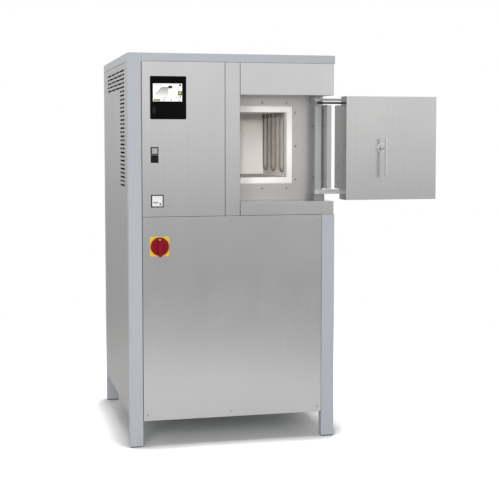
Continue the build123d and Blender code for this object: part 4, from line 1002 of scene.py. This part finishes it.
def floor_material():
    """A diffuse floor that keeps the object's shadow and passes into the white backdrop."""
    material = bpy.data.materials.new("studio_floor")
    material.use_nodes = True
    tree = material.node_tree
    tree.nodes.clear()
    camera_only = tree.nodes.new("ShaderNodeLightPath").outputs["Is Camera Ray"]
    diffuse = tree.nodes.new("ShaderNodeBsdfDiffuse")
    tree.links.new(floor_color(tree, camera_only), diffuse.inputs["Color"])
    backdrop = tree.nodes.new("ShaderNodeEmission")
    strength = ramp(tree, camera_only, (0.0, 1.0), (FLOOR_MIRRORED, 1.0))
    tree.links.new(strength, backdrop.inputs["Strength"])
    both = tree.nodes.new("ShaderNodeMixShader")
    share = combine(tree, "MULTIPLY", seen_directly(tree), floor_fade(tree))
    tree.links.new(share, both.inputs[0])
    tree.links.new(diffuse.outputs[0], both.inputs[1])
    tree.links.new(backdrop.outputs[0], both.inputs[2])
    output = tree.nodes.new("ShaderNodeOutputMaterial")
    tree.links.new(both.outputs[0], output.inputs["Surface"])
    return material


def make_floor():
    """One flat square, centred on the frame's origin."""
    half = FLOOR_HALF
    corners = [(-half, -half, 0), (half, -half, 0), (half, half, 0), (-half, half, 0)]
    mesh = bpy.data.meshes.new("studio_floor")
    mesh.from_pydata(corners, [], [(0, 1, 2, 3)])
    mesh.materials.append(floor_material())
    floor = bpy.data.objects.new("studio_floor", mesh)
    bpy.context.scene.collection.objects.link(floor)


def make_world():
    """White to the eye and to reflections, and a plain grey light for everything else."""
    world = bpy.data.worlds.new("studio")
    world.use_nodes = True
    tree = world.node_tree
    background = tree.nodes["Background"]
    background.inputs["Color"].default_value = (1.0, 1.0, 1.0, 1.0)
    strength = ramp(tree, seen_directly(tree), (0.0, 1.0), (WORLD_STRENGTH, 1.0))
    tree.links.new(strength, background.inputs["Strength"])
    bpy.context.scene.world = world


def hang_lamp(name, data, place, aim):
    """Puts a lamp at a place, turned to a point, and keeps its outline out of reflections."""
    lamp = bpy.data.objects.new(name, data)
    bpy.context.scene.collection.objects.link(lamp)
    lamp.location = place
    lamp.rotation_euler = (Vector(aim) - Vector(place)).to_track_quat("-Z", "Y").to_euler()
    lamp.visible_glossy = False


def make_lamp(name, place, aim, size, power):
    """A soft rectangular lamp."""
    data = bpy.data.lights.new(name, "AREA")
    data.shape = "RECTANGLE"
    data.size, data.size_y = size
    data.energy = power
    hang_lamp(name, data, place, aim)


def make_spot(name, place, aim, angle, radius, power):
    """A narrow soft-edged fill; the angle is in degrees."""
    data = bpy.data.lights.new(name, "SPOT")
    data.spot_size = math.radians(angle)
    data.spot_blend = 1.0
    data.shadow_soft_size = radius
    data.energy = power
    hang_lamp(name, data, place, aim)


def make_camera():
    """The photograph's viewpoint: focal length and shift from the fitted pixel values."""
    data = bpy.data.cameras.new("camera")
    data.sensor_width = SENSOR_WIDTH
    data.lens = SENSOR_WIDTH * FOCAL_PIXELS / IMAGE_SIDE
    data.shift_y = (PRINCIPAL_ROW - IMAGE_SIDE / 2) / IMAGE_SIDE
    data.clip_end = CAMERA_CLIP_END
    camera = bpy.data.objects.new("camera", data)
    bpy.context.scene.collection.objects.link(camera)
    turn = Matrix.Rotation(-CAMERA_YAW, 4, "Z")
    tip = Matrix.Rotation(math.pi / 2 + CAMERA_PITCH, 4, "X")
    camera.matrix_world = Matrix.Translation(CAMERA_PLACE) @ turn @ tip
    bpy.context.scene.camera = camera


# ---- assembly ------------------------------------------------------------------------------
make_camera()
make_world()
make_floor()
make_lamp("front_lamp", **FRONT_LAMP)
make_lamp("top_lamp", **TOP_LAMP)
make_lamp("back_lamp", **BACK_LAMP)
make_spot("chamber_lamp", **CHAMBER_LAMP)
make_spot("recess_lamp", **RECESS_LAMP)
dress_nodes()
screen_bars()
screen_fill()
screen_line()
screen_flash()
hour_counter()
main_switch_dot()
screws("cabinet_screws", "cabinet")
screws("door_screws", "door")
frame_seam()
bpy.context.scene.view_settings.view_transform = "Standard"
